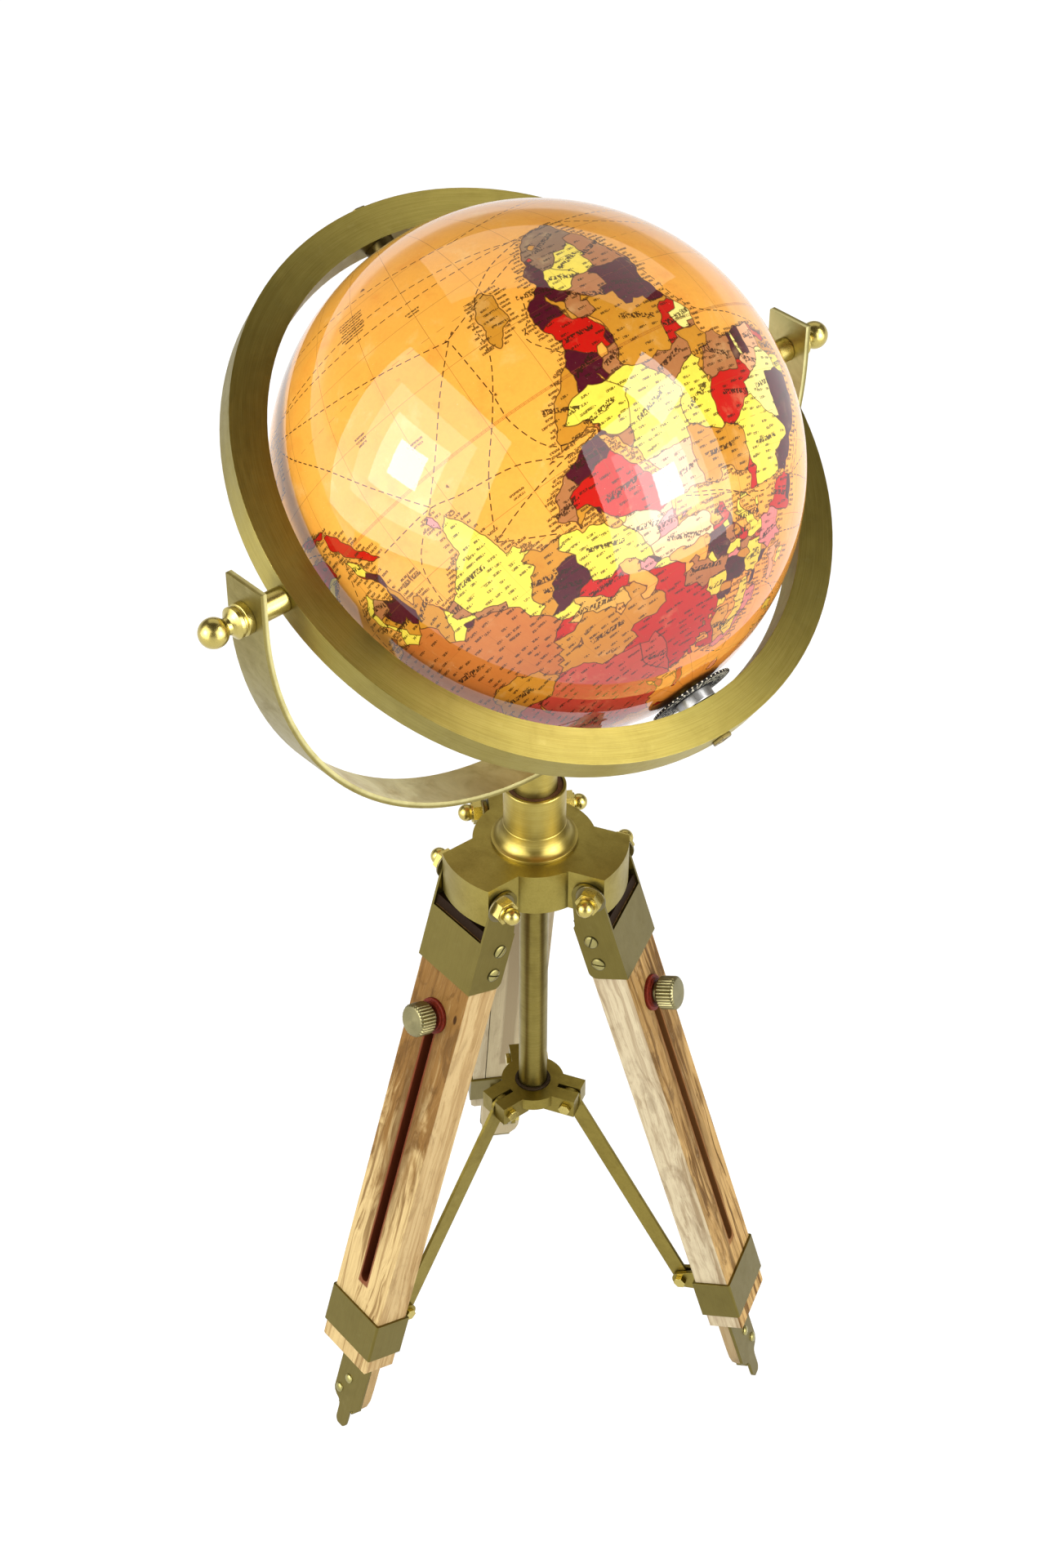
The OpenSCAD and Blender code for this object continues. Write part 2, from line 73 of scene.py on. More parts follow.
# ------------------------------------------------------------------ node helpers
class Net:
    """Small helper for writing node materials."""
    def __init__(self, name, world=None):
        if world is None:
            self.m = bpy.data.materials.new(name)
            self.m.use_nodes = True
            self.nt = self.m.node_tree
            self.nt.nodes.clear()
            self.out = self.nt.nodes.new("ShaderNodeOutputMaterial")
            self.b = self.nt.nodes.new("ShaderNodeBsdfPrincipled")
            self.nt.links.new(self.b.outputs[0], self.out.inputs[0])
        else:
            self.nt = world

    def new(self, kind, **kw):
        n = self.nt.nodes.new(kind)
        for k, v in kw.items():
            setattr(n, k, v)
        return n

    def link(self, a, b):
        self.nt.links.new(a, b)

    def put(self, sock, v):
        if isinstance(v, bpy.types.NodeSocket):
            self.nt.links.new(v, sock)
        elif v is not None:
            sock.default_value = v

    def math(self, op, a, b=None, c=None, clamp=False):
        n = self.new("ShaderNodeMath", operation=op, use_clamp=clamp)
        self.put(n.inputs[0], a)
        self.put(n.inputs[1], b)
        self.put(n.inputs[2], c)
        return n.outputs[0]

    def vmath(self, op, a, b=None, scale=None):
        n = self.new("ShaderNodeVectorMath", operation=op)
        self.put(n.inputs[0], a)
        self.put(n.inputs[1], b)
        if scale is not None:
            self.put(n.inputs[3], scale)
        return n.outputs["Value"] if op in ("LENGTH", "DOT_PRODUCT", "DISTANCE") else n.outputs["Vector"]

    def sep(self, v):
        n = self.new("ShaderNodeSeparateXYZ")
        self.put(n.inputs[0], v)
        return n.outputs[0], n.outputs[1], n.outputs[2]

    def comb(self, x, y, z):
        n = self.new("ShaderNodeCombineXYZ")
        for i, v in enumerate((x, y, z)):
            self.put(n.inputs[i], v)
        return n.outputs[0]

    def local(self, F):
        """Position in a piece's own frame, in millimetres."""
        tc = self.new("ShaderNodeTexCoord")
        mp = self.new("ShaderNodeMapping", vector_type="TEXTURE")
        mp.inputs["Location"].default_value = F.translation * MM
        mp.inputs["Rotation"].default_value = F.to_euler("XYZ")
        mp.inputs["Scale"].default_value = (MM, MM, MM)
        self.link(tc.outputs["Object"], mp.inputs[0])
        return mp.outputs[0]

    def noise(self, vec, scale=1.0, detail=3.0, rough=0.5, dist=0.0, out="Fac", lac=2.0, w=None):
        n = self.new("ShaderNodeTexNoise")
        if w is not None:
            n.noise_dimensions = "4D"
            n.inputs["W"].default_value = w
        self.put(n.inputs["Vector"], vec)
        self.put(n.inputs["Scale"], scale)
        n.inputs["Detail"].default_value = detail
        n.inputs["Roughness"].default_value = rough
        n.inputs["Distortion"].default_value = dist
        n.inputs["Lacunarity"].default_value = lac
        return n.outputs[out]

    def ramp(self, fac, stops, interp="LINEAR"):
        n = self.new("ShaderNodeValToRGB")
        cr = n.color_ramp
        cr.interpolation = interp
        while len(cr.elements) > 1:
            cr.elements.remove(cr.elements[-1])
        first = True
        for pos, col in stops:
            if not isinstance(col, (tuple, list)):
                col = (col, col, col)
            if first:
                e = cr.elements[0]
                e.position = pos
                first = False
            else:
                e = cr.elements.new(pos)
            e.color = (*col[:3], 1)
        self.put(n.inputs[0], fac)
        return n.outputs[0]

    def step(self, v, a, b):
        """0 at a, 1 at b, smooth."""
        n = self.new("ShaderNodeMapRange", interpolation_type="SMOOTHSTEP")
        self.put(n.inputs["Value"], v)
        n.inputs["From Min"].default_value = a
        n.inputs["From Max"].default_value = b
        return n.outputs[0]

    def lin(self, v, a, b, c, d, clamp=True):
        n = self.new("ShaderNodeMapRange")
        n.clamp = clamp
        self.put(n.inputs["Value"], v)
        for i, x in zip(("From Min", "From Max", "To Min", "To Max"), (a, b, c, d)):
            self.put(n.inputs[i], x)
        return n.outputs[0]

    def mix(self, f, a, b, mode="MIX"):
        n = self.new("ShaderNodeMix", data_type="RGBA", blend_type=mode)
        self.put(n.inputs[0], f)
        for s, v in ((n.inputs[6], a), (n.inputs[7], b)):
            if isinstance(v, (tuple, list)):
                v = (*v[:3], 1)
            self.put(s, v)
        return n.outputs[2]

    def bump(self, h, strength=0.2, dist=0.0001, normal=None):
        n = self.new("ShaderNodeBump")
        n.inputs["Strength"].default_value = strength
        n.inputs["Distance"].default_value = dist
        self.put(n.inputs["Height"], h)
        self.put(n.inputs["Normal"], normal)
        return n.outputs[0]

    def set(self, **kw):
        names = {"color": "Base Color", "rough": "Roughness", "metal": "Metallic", "normal": "Normal",
                 "coat": "Coat Weight", "coat_rough": "Coat Roughness", "coat_ior": "Coat IOR",
                 "coat_normal": "Coat Normal", "ior": "IOR",
                 "spec": "Specular IOR Level", "aniso": "Anisotropic", "aniso_rot": "Anisotropic Rotation",
                 "tangent": "Tangent", "sheen": "Sheen Weight"}
        for k, v in kw.items():
            if isinstance(v, (tuple, list)) and k == "color":
                v = (*v[:3], 1)
            self.put(self.b.inputs[names[k]], v)
        return self.m


def hexc(r, g, b):
    """sRGB 0-255 to linear."""
    f = lambda c: (c / 255 / 12.92) if c / 255 <= 0.04045 else ((c / 255 + 0.055) / 1.055) ** 2.4
    return (f(r), f(g), f(b))


# ------------------------------------------------------------------ materials
CACHE = {}
KNOT = (12.3, -59.5)


def brass(name, F, base, dark, pale=None, rough=0.34, brushed="none", tarnish=0.35, grain=1.0, speck=0.5, painted_light_mode=None):
    """Lacquered antique brass. brushed: none, z (streaks run along local Z), ring and turned (run round local Z), x, y.
    """
    n = Net(name)
    p = n.local(F)
    x, y, z = n.sep(p)
    pale = pale or tuple(min(1, c * 1.25) for c in base)
    # streak coordinates: fine across the brushing, long along it
    if brushed == "ring":
        r = n.math("SQRT", n.math("ADD", n.math("MULTIPLY", x, x), n.math("MULTIPLY", y, y)))
        a = n.math("ARCTAN2", y, x)
        # two seam-free components round the circle
        s = n.comb(n.math("MULTIPLY", n.math("COSINE", a), 9.0), n.math("MULTIPLY", n.math("SINE", a), 9.0),
                   n.math("ADD", n.math("MULTIPLY", r, 7.0), n.math("MULTIPLY", z, 6.1)))
    elif brushed == "turned":
        r = n.math("SQRT", n.math("ADD", n.math("MULTIPLY", x, x), n.math("MULTIPLY", y, y)))
        a = n.math("ARCTAN2", y, x)
        s = n.comb(n.math("MULTIPLY", n.math("COSINE", a), 0.8), n.math("MULTIPLY", n.math("SINE", a), 0.8),
                   n.math("ADD", n.math("MULTIPLY", r, 6.0), n.math("MULTIPLY", z, 7.0)))
    elif brushed == "z":
        s = n.comb(n.math("MULTIPLY", x, 6.0), n.math("MULTIPLY", y, 6.0), n.math("MULTIPLY", z, 0.16))
    elif brushed == "y":
        s = n.comb(n.math("MULTIPLY", x, 6.0), n.math("MULTIPLY", y, 0.16), n.math("MULTIPLY", z, 6.0))
    elif brushed == "x":
        s = n.comb(n.math("MULTIPLY", x, 0.16), n.math("MULTIPLY", y, 6.0), n.math("MULTIPLY", z, 6.0))
    else:
        s = n.vmath("SCALE", p, scale=3.0)
    fine = n.noise(s, 1.0, 3, 0.6)
    broad = n.noise(n.vmath("SCALE", s, scale=0.33), 1.0, 2, 0.5, w=3.1)
    blot = n.noise(p, 0.055, 4, 0.62, 0.6)
    blot2 = n.noise(p, 0.21, 5, 0.6, 0.2, w=7.7)
    spots = n.noise(p, 1.6, 2, 0.5, w=2.2)
    tar = n.math("MULTIPLY", n.step(blot, 0.42, 0.68), tarnish, clamp=True)
    tar = n.math("ADD", tar, n.math("MULTIPLY", n.step(blot2, 0.5, 0.75), tarnish * 0.6), clamp=True)
    c = n.mix(tar, base, dark)
    c = n.mix(n.math("MULTIPLY", n.step(blot2, 0.42, 0.2), 0.35), c, pale)
    c = n.mix(n.math("MULTIPLY", n.step(fine, 0.35, 0.7), 0.22 * grain), c, pale)
    c = n.mix(n.math("MULTIPLY", n.step(broad, 0.6, 0.35), 0.16 * grain), c, dark)
    c = n.mix(n.math("MULTIPLY", n.step(spots, 0.70, 0.78), speck), c, tuple(d * 0.45 for d in dark))
    if painted_light_mode == "slot":      # painted shade in the screw slots and round the heads
        c = n.mix(n.math("MULTIPLY", n.step(n.math("ABSOLUTE", y), 17.78, 17.55), 0.88), c, tuple(d * 0.22 for d in dark))
    if painted_light_mode == "yoke":      # painted light and shade: the outside of the strap is darkened and its inner side painted paler
        zz = n.math("MINIMUM", z, 0.0)
        rad_ = n.math("SQRT", n.math("ADD", n.math("MULTIPLY", x, x), n.math("MULTIPLY", zz, zz)))
        painted_light_hollow = n.step(rad_, 138.2, 137.2)
        c = n.mix(n.math("MULTIPLY", n.math("SUBTRACT", 1.0, painted_light_hollow), 0.9), c, (0.66, 0.64, 0.60), "MULTIPLY")
        c = n.mix(n.math("MULTIPLY", painted_light_hollow, n.lin(blot, 0.3, 0.6, 0.75, 0.35)), c, (0.80, 0.74, 0.37))
    rr = n.math("ADD", n.math("MULTIPLY", fine, 0.16 * grain), n.math("MULTIPLY", blot2, 0.16))
    rr = n.math("ADD", rr, rough - 0.16 + 0.0)
    rr = n.math("ADD", rr, n.math("MULTIPLY", tar, 0.12), clamp=True)
    h = n.math("ADD", n.math("MULTIPLY", fine, 1.0), n.math("MULTIPLY", blot2, 0.35))
    if brushed in ("ring", "turned"):
        # highlights stretch across the brush marks: outwards on the flats, along the axis on the round faces
        inv = F.inverted()
        ax = tuple(F.to_3x3() @ Vector((0, 0, 1)))
        tc = n.new("ShaderNodeTexCoord")
        rel = n.vmath("SUBTRACT", tc.outputs["Object"], tuple(F.translation * MM))
        hgt = n.vmath("DOT_PRODUCT", rel, ax)
        rad = n.vmath("NORMALIZE", n.vmath("SUBTRACT", rel, n.vmath("SCALE", ax, scale=hgt)))
        tg = n.vmath("ADD", rad, ax)
        vt = n.new("ShaderNodeVectorTransform", vector_type="VECTOR", convert_from="OBJECT", convert_to="WORLD")
        n.link(tg, vt.inputs[0])
        n.set(tangent=n.vmath("NORMALIZE", vt.outputs[0]), aniso=0.72 if brushed == "ring" else 0.5)
    return n.set(color=c, metal=1.0, rough=rr, normal=n.bump(h, 0.16 * grain + 0.05, 0.00008))


def steel(name, F, base, rough=0.28, brushed="turned", south_shade=None):
    n = Net(name)
    p = n.local(F)
    x, y, z = n.sep(p)
    if brushed == "turned":
        s = n.comb(n.math("MULTIPLY", x, 0.25), n.math("MULTIPLY", y, 0.25), n.math("MULTIPLY", z, 8.0))
    else:
        s = n.comb(n.math("MULTIPLY", x, 8.0), n.math("MULTIPLY", y, 8.0), n.math("MULTIPLY", z, 0.3))
    f = n.noise(s, 1.0, 3, 0.6)
    b = n.noise(p, 0.4, 3, 0.6)
    c = n.mix(n.step(f, 0.3, 0.7), tuple(v * 0.72 for v in base), base)
    c = n.mix(n.math("MULTIPLY", n.step(b, 0.5, 0.75), 0.4), c, tuple(v * 0.5 for v in base))
    if south_shade:               # painted shade: the far end of the axle is coloured near black
        c = n.mix(n.step(z, 0.5, -0.5), c, south_shade)
    return n.set(color=c, metal=1.0, rough=n.lin(f, 0.2, 0.8, rough - 0.08, rough + 0.14),
                 normal=n.bump(f, 0.3, 0.00006))


def wood(name, F, cream, brown, dark, side, slot, seed=0.0, stripes=0.3, fade=(-215, -60), warm=0.5, knot=None, halo=0.35):
    """Leg timber. The grain runs down the leg (local Z); the outward face is stained warmer than the sides."""
    n = Net(name)
    p = n.local(F)
    x, y, z = n.sep(p)
    M = lambda v, k: n.math("MULTIPLY", v, k)
    warp = n.noise(n.comb(M(x, 0.05), M(y, 0.05), M(z, 0.012)), 1.0, 3, 0.55, w=seed)
    wv = M(n.math("SUBTRACT", warp, 0.5), 14.0)
    gx = n.math("ADD", x, wv)
    gy = n.math("ADD", y, n.math("MULTIPLY", wv, 1.3))
    bands = n.noise(n.comb(M(gx, 0.16), M(gy, 0.16), M(z, 0.004)), 1.0, 3, 0.62, w=seed + 1)
    rings = n.noise(n.comb(M(gx, 0.42), M(gy, 0.42), M(z, 0.007)), 1.0, 3, 0.6, w=seed + 5)
    fib = n.noise(n.comb(M(gx, 2.4), M(gy, 2.4), M(z, 0.05)), 1.0, 4, 0.65, w=seed + 2)
    pores = n.noise(n.comb(M(gx, 5.0), M(gy, 5.0), M(z, 0.20)), 1.0, 2, 0.5, w=seed + 3)
    blot = n.noise(n.comb(M(x, 0.10), M(gy, 0.10), M(z, 0.028)), 1.0, 4, 0.6, 0.8, w=seed + 4)
    curl = n.noise(n.comb(M(gx, 0.12), M(gy, 0.12), M(z, 0.05)), 1.0, 4, 0.65, 1.2, w=seed + 6)
    face = n.step(x, 2.7, 3.4)
    # outward face: brown heartwood fading to sapwood towards the foot
    stain = n.math("ADD", n.lin(z, fade[0], fade[1], -0.25, 0.95, clamp=False), M(n.math("SUBTRACT", blot, 0.5), 2.3))
    stain = n.math("ADD", stain, M(n.math("SUBTRACT", curl, 0.5), 0.7))
    stain = n.step(n.math("ADD", stain, M(n.math("SUBTRACT", bands, 0.5), 1.2)), 0.12, 0.72)
    out = n.mix(M(stain, warm), cream, brown)
    st = n.step(rings, 0.47, 0.60)
    out = n.mix(M(st, stripes), out, brown)
    out = n.mix(M(n.step(bands, 0.54, 0.68), stripes * 0.9), out, tuple(a * 0.55 + b * 0.45 for a, b in zip(brown, dark)))
    out = n.mix(M(n.step(rings, 0.45, 0.34), 0.42), out, tuple(a * 0.65 + b * 0.35 for a, b in zip(cream, brown)))
    out = n.mix(M(n.step(rings, 0.54, 0.66), min(0.85, stripes * 0.9)), out, tuple(a * 0.4 + b * 0.6 for a, b in zip(brown, dark)))
    out = n.mix(M(n.math("MULTIPLY", stain, n.step(curl, 0.50, 0.63)), 0.62), out, tuple(a * 0.35 + b * 0.65 for a, b in zip(brown, dark)))
    hal = n.math("MULTIPLY", n.step(n.math("ADD", n.math("ABSOLUTE", y), M(n.math("SUBTRACT", blot, 0.5), 16.0)), 10.5, 4.0), n.math("MULTIPLY", n.step(z, -205, -150), n.step(z, -66, -86)))
    out = n.mix(M(hal, halo), out, tuple(a * 0.42 + b * 0.58 for a, b in zip(brown, dark)))
    sd = n.mix(M(n.step(rings, 0.45, 0.60), 0.72), side, tuple(a * 0.42 + b * 0.58 for a, b in zip(side, brown)))
    sd = n.mix(M(n.step(bands, 0.50, 0.64), 0.45), sd, brown)
    sd = n.mix(M(n.step(curl, 0.5, 0.68), 0.30), sd, tuple(a * 0.5 + b * 0.5 for a, b in zip(brown, dark)))
    c = n.mix(face, sd, out)
    c = n.mix(M(n.step(fib, 0.5, 0.72), 0.30), c, tuple(a * 0.5 + b * 0.5 for a, b in zip(brown, dark)))
    c = n.mix(M(n.step(fib, 0.45, 0.28), 0.22), c, tuple(min(1, v * 1.18) for v in side))
    c = n.mix(M(n.step(pores, 0.64, 0.74), 0.42), c, dark)
    if knot:
        ky, kz = knot
        kd = n.vmath("LENGTH", n.comb(M(n.math("SUBTRACT", y, ky), 1.0), M(n.math("SUBTRACT", z, kz), 0.42), 0.0))
        c = n.mix(n.math("MULTIPLY", face, n.math("MULTIPLY", n.step(kd, 3.6, 1.4), 0.45)), c, brown)
        c = n.mix(n.math("MULTIPLY", face, n.step(n.math("ADD", kd, M(fib, 0.6)), 1.55, 1.0)), c, dark)
    # painted shade: the inside of the clamp slot is coloured dark red-brown
    ay = n.math("ABSOLUTE", y)
    slot_shade = n.math("MULTIPLY", n.step(ay, 2.8, 2.5), n.step(x, 3.56, 3.35))
    slot_shade = n.math("MULTIPLY", slot_shade, n.math("MULTIPLY", n.step(z, -213.5, -212.0), n.step(z, -61.0, -62.6)))
    c = n.mix(slot_shade, c, slot)
    # painted shade: a dark band round the slot's opening
    rim = n.math("MULTIPLY", n.step(ay, 4.0, 2.6), n.math("MULTIPLY", n.step(z, -215.0, -212.5), n.step(z, -60.0, -62.6)))
    c = n.mix(M(rim, 0.35), c, dark)
    # painted shade: the slot's lip on the outward face takes the slot colour
    slot_lip_shade = n.math("MULTIPLY", n.step(n.math("ADD", ay, M(n.math("SUBTRACT", fib, 0.5), 0.5)), 3.55, 3.15), n.math("MULTIPLY", n.step(z, -214.4, -213.6), n.step(z, -60.6, -61.4)))
    c = n.mix(M(n.math("MULTIPLY", slot_lip_shade, face), 0.82), c, tuple(v * 0.9 for v in slot))
    # painted shade: the head of the leg, inside the bracket, is coloured almost black; the foot end is browned
    c = n.mix(n.step(z, -18.4, -17.2), c, tuple(v * 0.30 for v in dark))
    c = n.mix(M(n.step(z, -256.3, -256.48), 0.6), c, brown)
    # soiling along the lower edges
    c = n.mix(M(n.math("MULTIPLY", n.step(z, -222, -228), n.step(blot, 0.4, 0.7)), 0.3), c, brown)
    h = n.math("ADD", M(fib, 0.8), M(pores, 0.6))
    return n.set(color=c, rough=n.lin(fib, 0.3, 0.7, 0.52, 0.70), normal=n.bump(h, 0.35, 0.00014), spec=0.07)


def fibre(name, F, a, b, rough=0.45, scale=1.2, spec=0.4):
    n = Net(name)
    p = n.local(F)
    f = n.noise(p, scale, 5, 0.65)
    g = n.noise(p, scale * 5, 3, 0.6, w=4.0)
    c = n.mix(n.step(f, 0.35, 0.65), a, b)
    c = n.mix(n.math("MULTIPLY", n.step(g, 0.6, 0.75), 0.5), c, tuple(v * 0.4 for v in a))
    return n.set(color=c, rough=n.lin(f, 0.3, 0.7, rough - 0.08, rough + 0.1), normal=n.bump(g, 0.25, 0.0001), spec=spec)


GOLD = (0.62, 0.46, 0.125)
OLIVE = (0.42, 0.36, 0.125)
DKOL = (0.235, 0.19, 0.05)


def mat(slot, node, leg=None):
    key = slot + (("_" + leg) if leg else "") + "_" + MKEY.get(node, "")
    if key in CACHE:
        return CACHE[key]
    F = F_ROOT
    if slot == "ring_brass":
        m = brass(key, F_RING, (0.285, 0.232, 0.054), (0.165, 0.122, 0.022), (0.42, 0.36, 0.12), rough=0.33, brushed="ring", tarnish=0.28, grain=1.5, speck=0.3)
    elif slot == "yoke_brass":
        # the yoke gets painted light and shade: darker outside, paler inner side
        m = brass(key, F_YOKE, (0.37, 0.315, 0.10), (0.21, 0.165, 0.04), (0.62, 0.55, 0.26), painted_light_mode="yoke", rough=0.40, brushed="y", tarnish=0.55, grain=0.8, speck=0.35)
    elif slot == "turned_brass" and node == "center_column":
        m = brass(key, F_ROOT, (0.235, 0.185, 0.043), (0.135, 0.097, 0.017), (0.36, 0.30, 0.10), rough=0.33, brushed="turned", tarnish=0.35, grain=1.4, speck=0.3)
    elif slot == "turned_brass":
        m = brass(key, F_ROOT, (0.40, 0.315, 0.075), (0.23, 0.165, 0.030), (0.58, 0.49, 0.17), rough=0.31, brushed="turned", tarnish=0.3, grain=1.4, speck=0.3)
    elif slot == "cast_brass":
        m = brass(key, F_ROOT, (0.30, 0.24, 0.055), (0.165, 0.12, 0.022), (0.40, 0.335, 0.10), rough=0.40, brushed="none", tarnish=0.4, grain=0.9, speck=0.4)
    elif slot == "sheet_brass":
        m = brass(key, F_LEG[leg], (0.160, 0.127, 0.031), (0.100, 0.076, 0.017), (0.225, 0.188, 0.062), rough=0.37, brushed="z", tarnish=0.22, grain=0.8, speck=0.3)
    elif slot == "spreader_brass":
        m = brass(key, F_ROOT, (0.245, 0.19, 0.038), (0.14, 0.10, 0.016), (0.34, 0.275, 0.075), rough=0.38, brushed="none", tarnish=0.4, grain=0.8, speck=0.4)
    elif slot == "polished_brass":
        m = brass(key, F_ROOT, (0.49, 0.40, 0.12), (0.29, 0.225, 0.05), (0.66, 0.57, 0.24), rough=0.30, brushed="none", tarnish=0.25, grain=0.5, speck=0.25)
    elif slot == "screw_brass":
        # screw heads get painted shade in the slot and round the head; the foot shoe screws do not
        m = brass(key, F_LEG[leg] if leg else F_ROOT, (0.34, 0.30, 0.11), (0.19, 0.16, 0.05), (0.46, 0.42, 0.2), rough=0.30, brushed="none", tarnish=0.35, grain=0.7, speck=0.4, painted_light_mode=None if node.startswith("shoe_screws") else "slot")
    elif slot == "knob_brass":
        m = brass(key, F_LEG[leg] @ T(0, 0, -65) @ RY(90), (0.225, 0.20, 0.095), (0.13, 0.11, 0.04), (0.34, 0.315, 0.175), rough=0.34, brushed="turned", tarnish=0.25, grain=1.0, speck=0.3)
    elif slot == "dark_brass":
        m = brass(key, F_ROOT, (0.20, 0.155, 0.055), (0.09, 0.065, 0.02), (0.3, 0.24, 0.1), rough=0.38, tarnish=0.6)
    elif slot == "bright_steel":
        # the axle pieces get painted shade, near black, at their far end
        m = steel(key, F_POLAR, (0.50, 0.50, 0.50), 0.30, "z", south_shade=(0.10, 0.075, 0.025)) if node != "hinge_washers" else steel(key, F_ROOT, (0.20, 0.17, 0.085), 0.34, "turned")
    elif slot == "leg_wood":
        # each leg's slot colour is painted shade for the inside of its clamp slot
        W_ = {"left": dict(cream=(0.50, 0.37, 0.17), brown=(0.185, 0.092, 0.023), dark=(0.042, 0.018, 0.005), side=(0.40, 0.29, 0.14), slot=(0.15, 0.028, 0.010), seed=0.3, stripes=0.62, fade=(-215, -80), warm=0.97, knot=KNOT, halo=0.8),
              "right": dict(cream=(0.39, 0.25, 0.095), brown=(0.13, 0.062, 0.013), dark=(0.040, 0.018, 0.005), side=(0.45, 0.38, 0.25), slot=(0.19, 0.075, 0.020), seed=5.1, stripes=0.95, fade=(-330, -20), warm=0.5, halo=0.6),
              "back": dict(cream=(0.42, 0.36, 0.22), brown=(0.22, 0.165, 0.085), dark=(0.09, 0.055, 0.026), side=(0.37, 0.315, 0.205), slot=(0.12, 0.03, 0.010), seed=9.4, stripes=0.6, fade=(-260, -40), warm=0.6)}[leg]
        m = wood(key, F_LEG[leg], **W_)
    elif slot == "inner_wood":
        m = wood(key, F_LEG[leg] @ T(9.5, 0, 0), cream=(0.38, 0.29, 0.155) if leg != "back" else (0.40, 0.345, 0.22), brown=(0.25, 0.165, 0.07) if leg != "back" else (0.31, 0.255, 0.15), dark=(0.09, 0.05, 0.022), side={"left": (0.38, 0.27, 0.13), "right": (0.33, 0.28, 0.18), "back": (0.37, 0.31, 0.19)}[leg], slot=(0.27, 0.14, 0.05) if leg != "back" else (0.33, 0.27, 0.16), seed={"left": 2.3, "right": 7.1, "back": 11.4}[leg], stripes=0.4, warm=0.4)
    elif slot == "red_fibre":
        m = fibre(key, F_LEG[leg], (0.085, 0.008, 0.003), (0.16, 0.018, 0.007), 0.46, 1.2, 0.12)
    elif slot == "bush_fibre":
        m = fibre(key, F_ROOT, (0.055, 0.020, 0.010), (0.10, 0.04, 0.018), 0.5)
    elif slot == "dial_black":
        m = fibre(key, F_POLAR, (0.006, 0.006, 0.006), (0.011, 0.011, 0.011), 0.62, 1.2, 0.08)
    elif slot == "globe_paper":
        m = fibre(key, F_GLOBE, (0.80, 0.42, 0.13), (0.88, 0.52, 0.2), 0.35, 0.02)
    else:
        m = fibre(key, F_ROOT, (0.3, 0.3, 0.3), (0.35, 0.35, 0.35))
    CACHE[key] = m
    return m


MKEY = {"hinge_washers": "olive", "center_column": "column"}
MKEY.update({"shoe_screws_" + k: "shoe" for k in ("left", "right", "back")})

# ------------------------------------------------------------------ refined pieces from the frame's nodes
BODY_OF = {n: o["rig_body"] for n, o in frame["nodes"].items()}
SLOT_OF = {n: o.data.materials[0].name for n, o in frame["nodes"].items()}


def leg_of(node):
    for k in ("left", "right", "back"):
        if node.endswith("_" + k):
            return k
    return None


def link(ob):
    bpy.context.scene.collection.objects.link(ob)
    return ob


def finish_mesh(ob, angle=38):
    me = ob.data
    for p in me.polygons:
        p.use_smooth = True
    try:
        me.set_sharp_from_angle(angle=math.radians(angle))
    except AttributeError:
        pass
    wn = ob.modifiers.new("wn", "WEIGHTED_NORMAL")
    wn.keep_sharp = True
    wn.weight = 80
    return ob


def refine(node, bevel=0.3, seg=2, name=None, min_angle=28, material=None, keep=None, flat=0.4, bend=None):
    """A finer piece made from a node: welded, planar faces joined, edges rounded."""
    src = frame["nodes"][node]
    bm = bmesh.new()
    bm.from_mesh(src.data)
    bmesh.ops.remove_doubles(bm, verts=bm.verts, dist=2e-6)
    bmesh.ops.dissolve_limit(bm, angle_limit=math.radians(flat), verts=bm.verts, edges=bm.edges, delimit=set())
    if bend:                 # larger radius where the sheet is bent
        inv = F_LEG[leg_of(node)].inverted()
        sel = []
        for e in bm.edges:
            a, b = (inv @ (v.co * 1000) for v in e.verts)
            if all(abs(v.x - 4.8) < 0.02 and abs(abs(v.y) - 17.2) < 0.02 for v in (a, b)) and abs(a.z - b.z) > 1:
                sel.append(e)
        bmesh.ops.bevel(bm, geom=sel, offset=bend * MM, offset_type="OFFSET", segments=5, profile=0.5, affect="EDGES", clamp_overlap=True)
    if bevel > 0:
        es = [e for e in bm.edges if len(e.link_faces) == 2 and math.degrees(e.calc_face_angle(0)) > min_angle and (keep is None or keep(e))]
        if es:
            bmesh.ops.bevel(bm, geom=es, offset=bevel * MM, offset_type="OFFSET", segments=seg, profile=0.6,
                            affect="EDGES", clamp_overlap=True)
    me = bpy.data.meshes.new((name or node) + "_fine")
    bm.to_mesh(me)
    bm.free()
    ob = link(bpy.data.objects.new((name or node) + "_fine", me))
    me.materials.append(material or mat(SLOT_OF[node], node, leg_of(node)))
    finish_mesh(ob)
    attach(ob, BODY_OF[node])
    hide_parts(node)
    return ob


BEV = {"meridian_ring": 0.35, "yoke": 0.3, "head_casting": 0.6, "stem_socket": 0.15, "spider": 0.35, "center_column": 0.3,
       "yoke_stem": 0.3, "acorn_nuts": 0.25, "axle_nuts": 0.25, "hinge_washers": 0.15, "hinge_bolts": 0.2, "axle_rod": 0.2,
       "pole_bushings": 0.1, "pole_spacers": 0.25, "hour_dial": 0.15, "trunnion_studs": 0.2, "trunnion_spacers": 0.35,
       "yoke_screw": 0.15, "finial_left": 0.12, "finial_right": 0.12, "socket_bush": 0.25, "spider_bolts": 0.2}
for node in sorted(frame["nodes"]):
    stem = node.rsplit("_", 1)[0]
    if node.startswith("globe_"):
        continue
    b = BEV.get(node, {"leg_rail": 0.6, "hinge_bracket": 0.22, "bracket_screws": 0.1, "ferrule": 0.35, "strut_lug": 0.2,
                       "lug_bolt": 0.15, "inner_leg": 0.4, "foot_shoe": 0.25, "shoe_screws": 0.1, "clamp_washer": 0.15,
                       "clamp_knob": 0.2, "strut": 0.25}.get(stem, 0.2))
    if stem == "clamp_knob" or node == "hour_dial":
        continue
    refine(node, b, bend=1.15 if stem in ("hinge_bracket", "ferrule") else None)

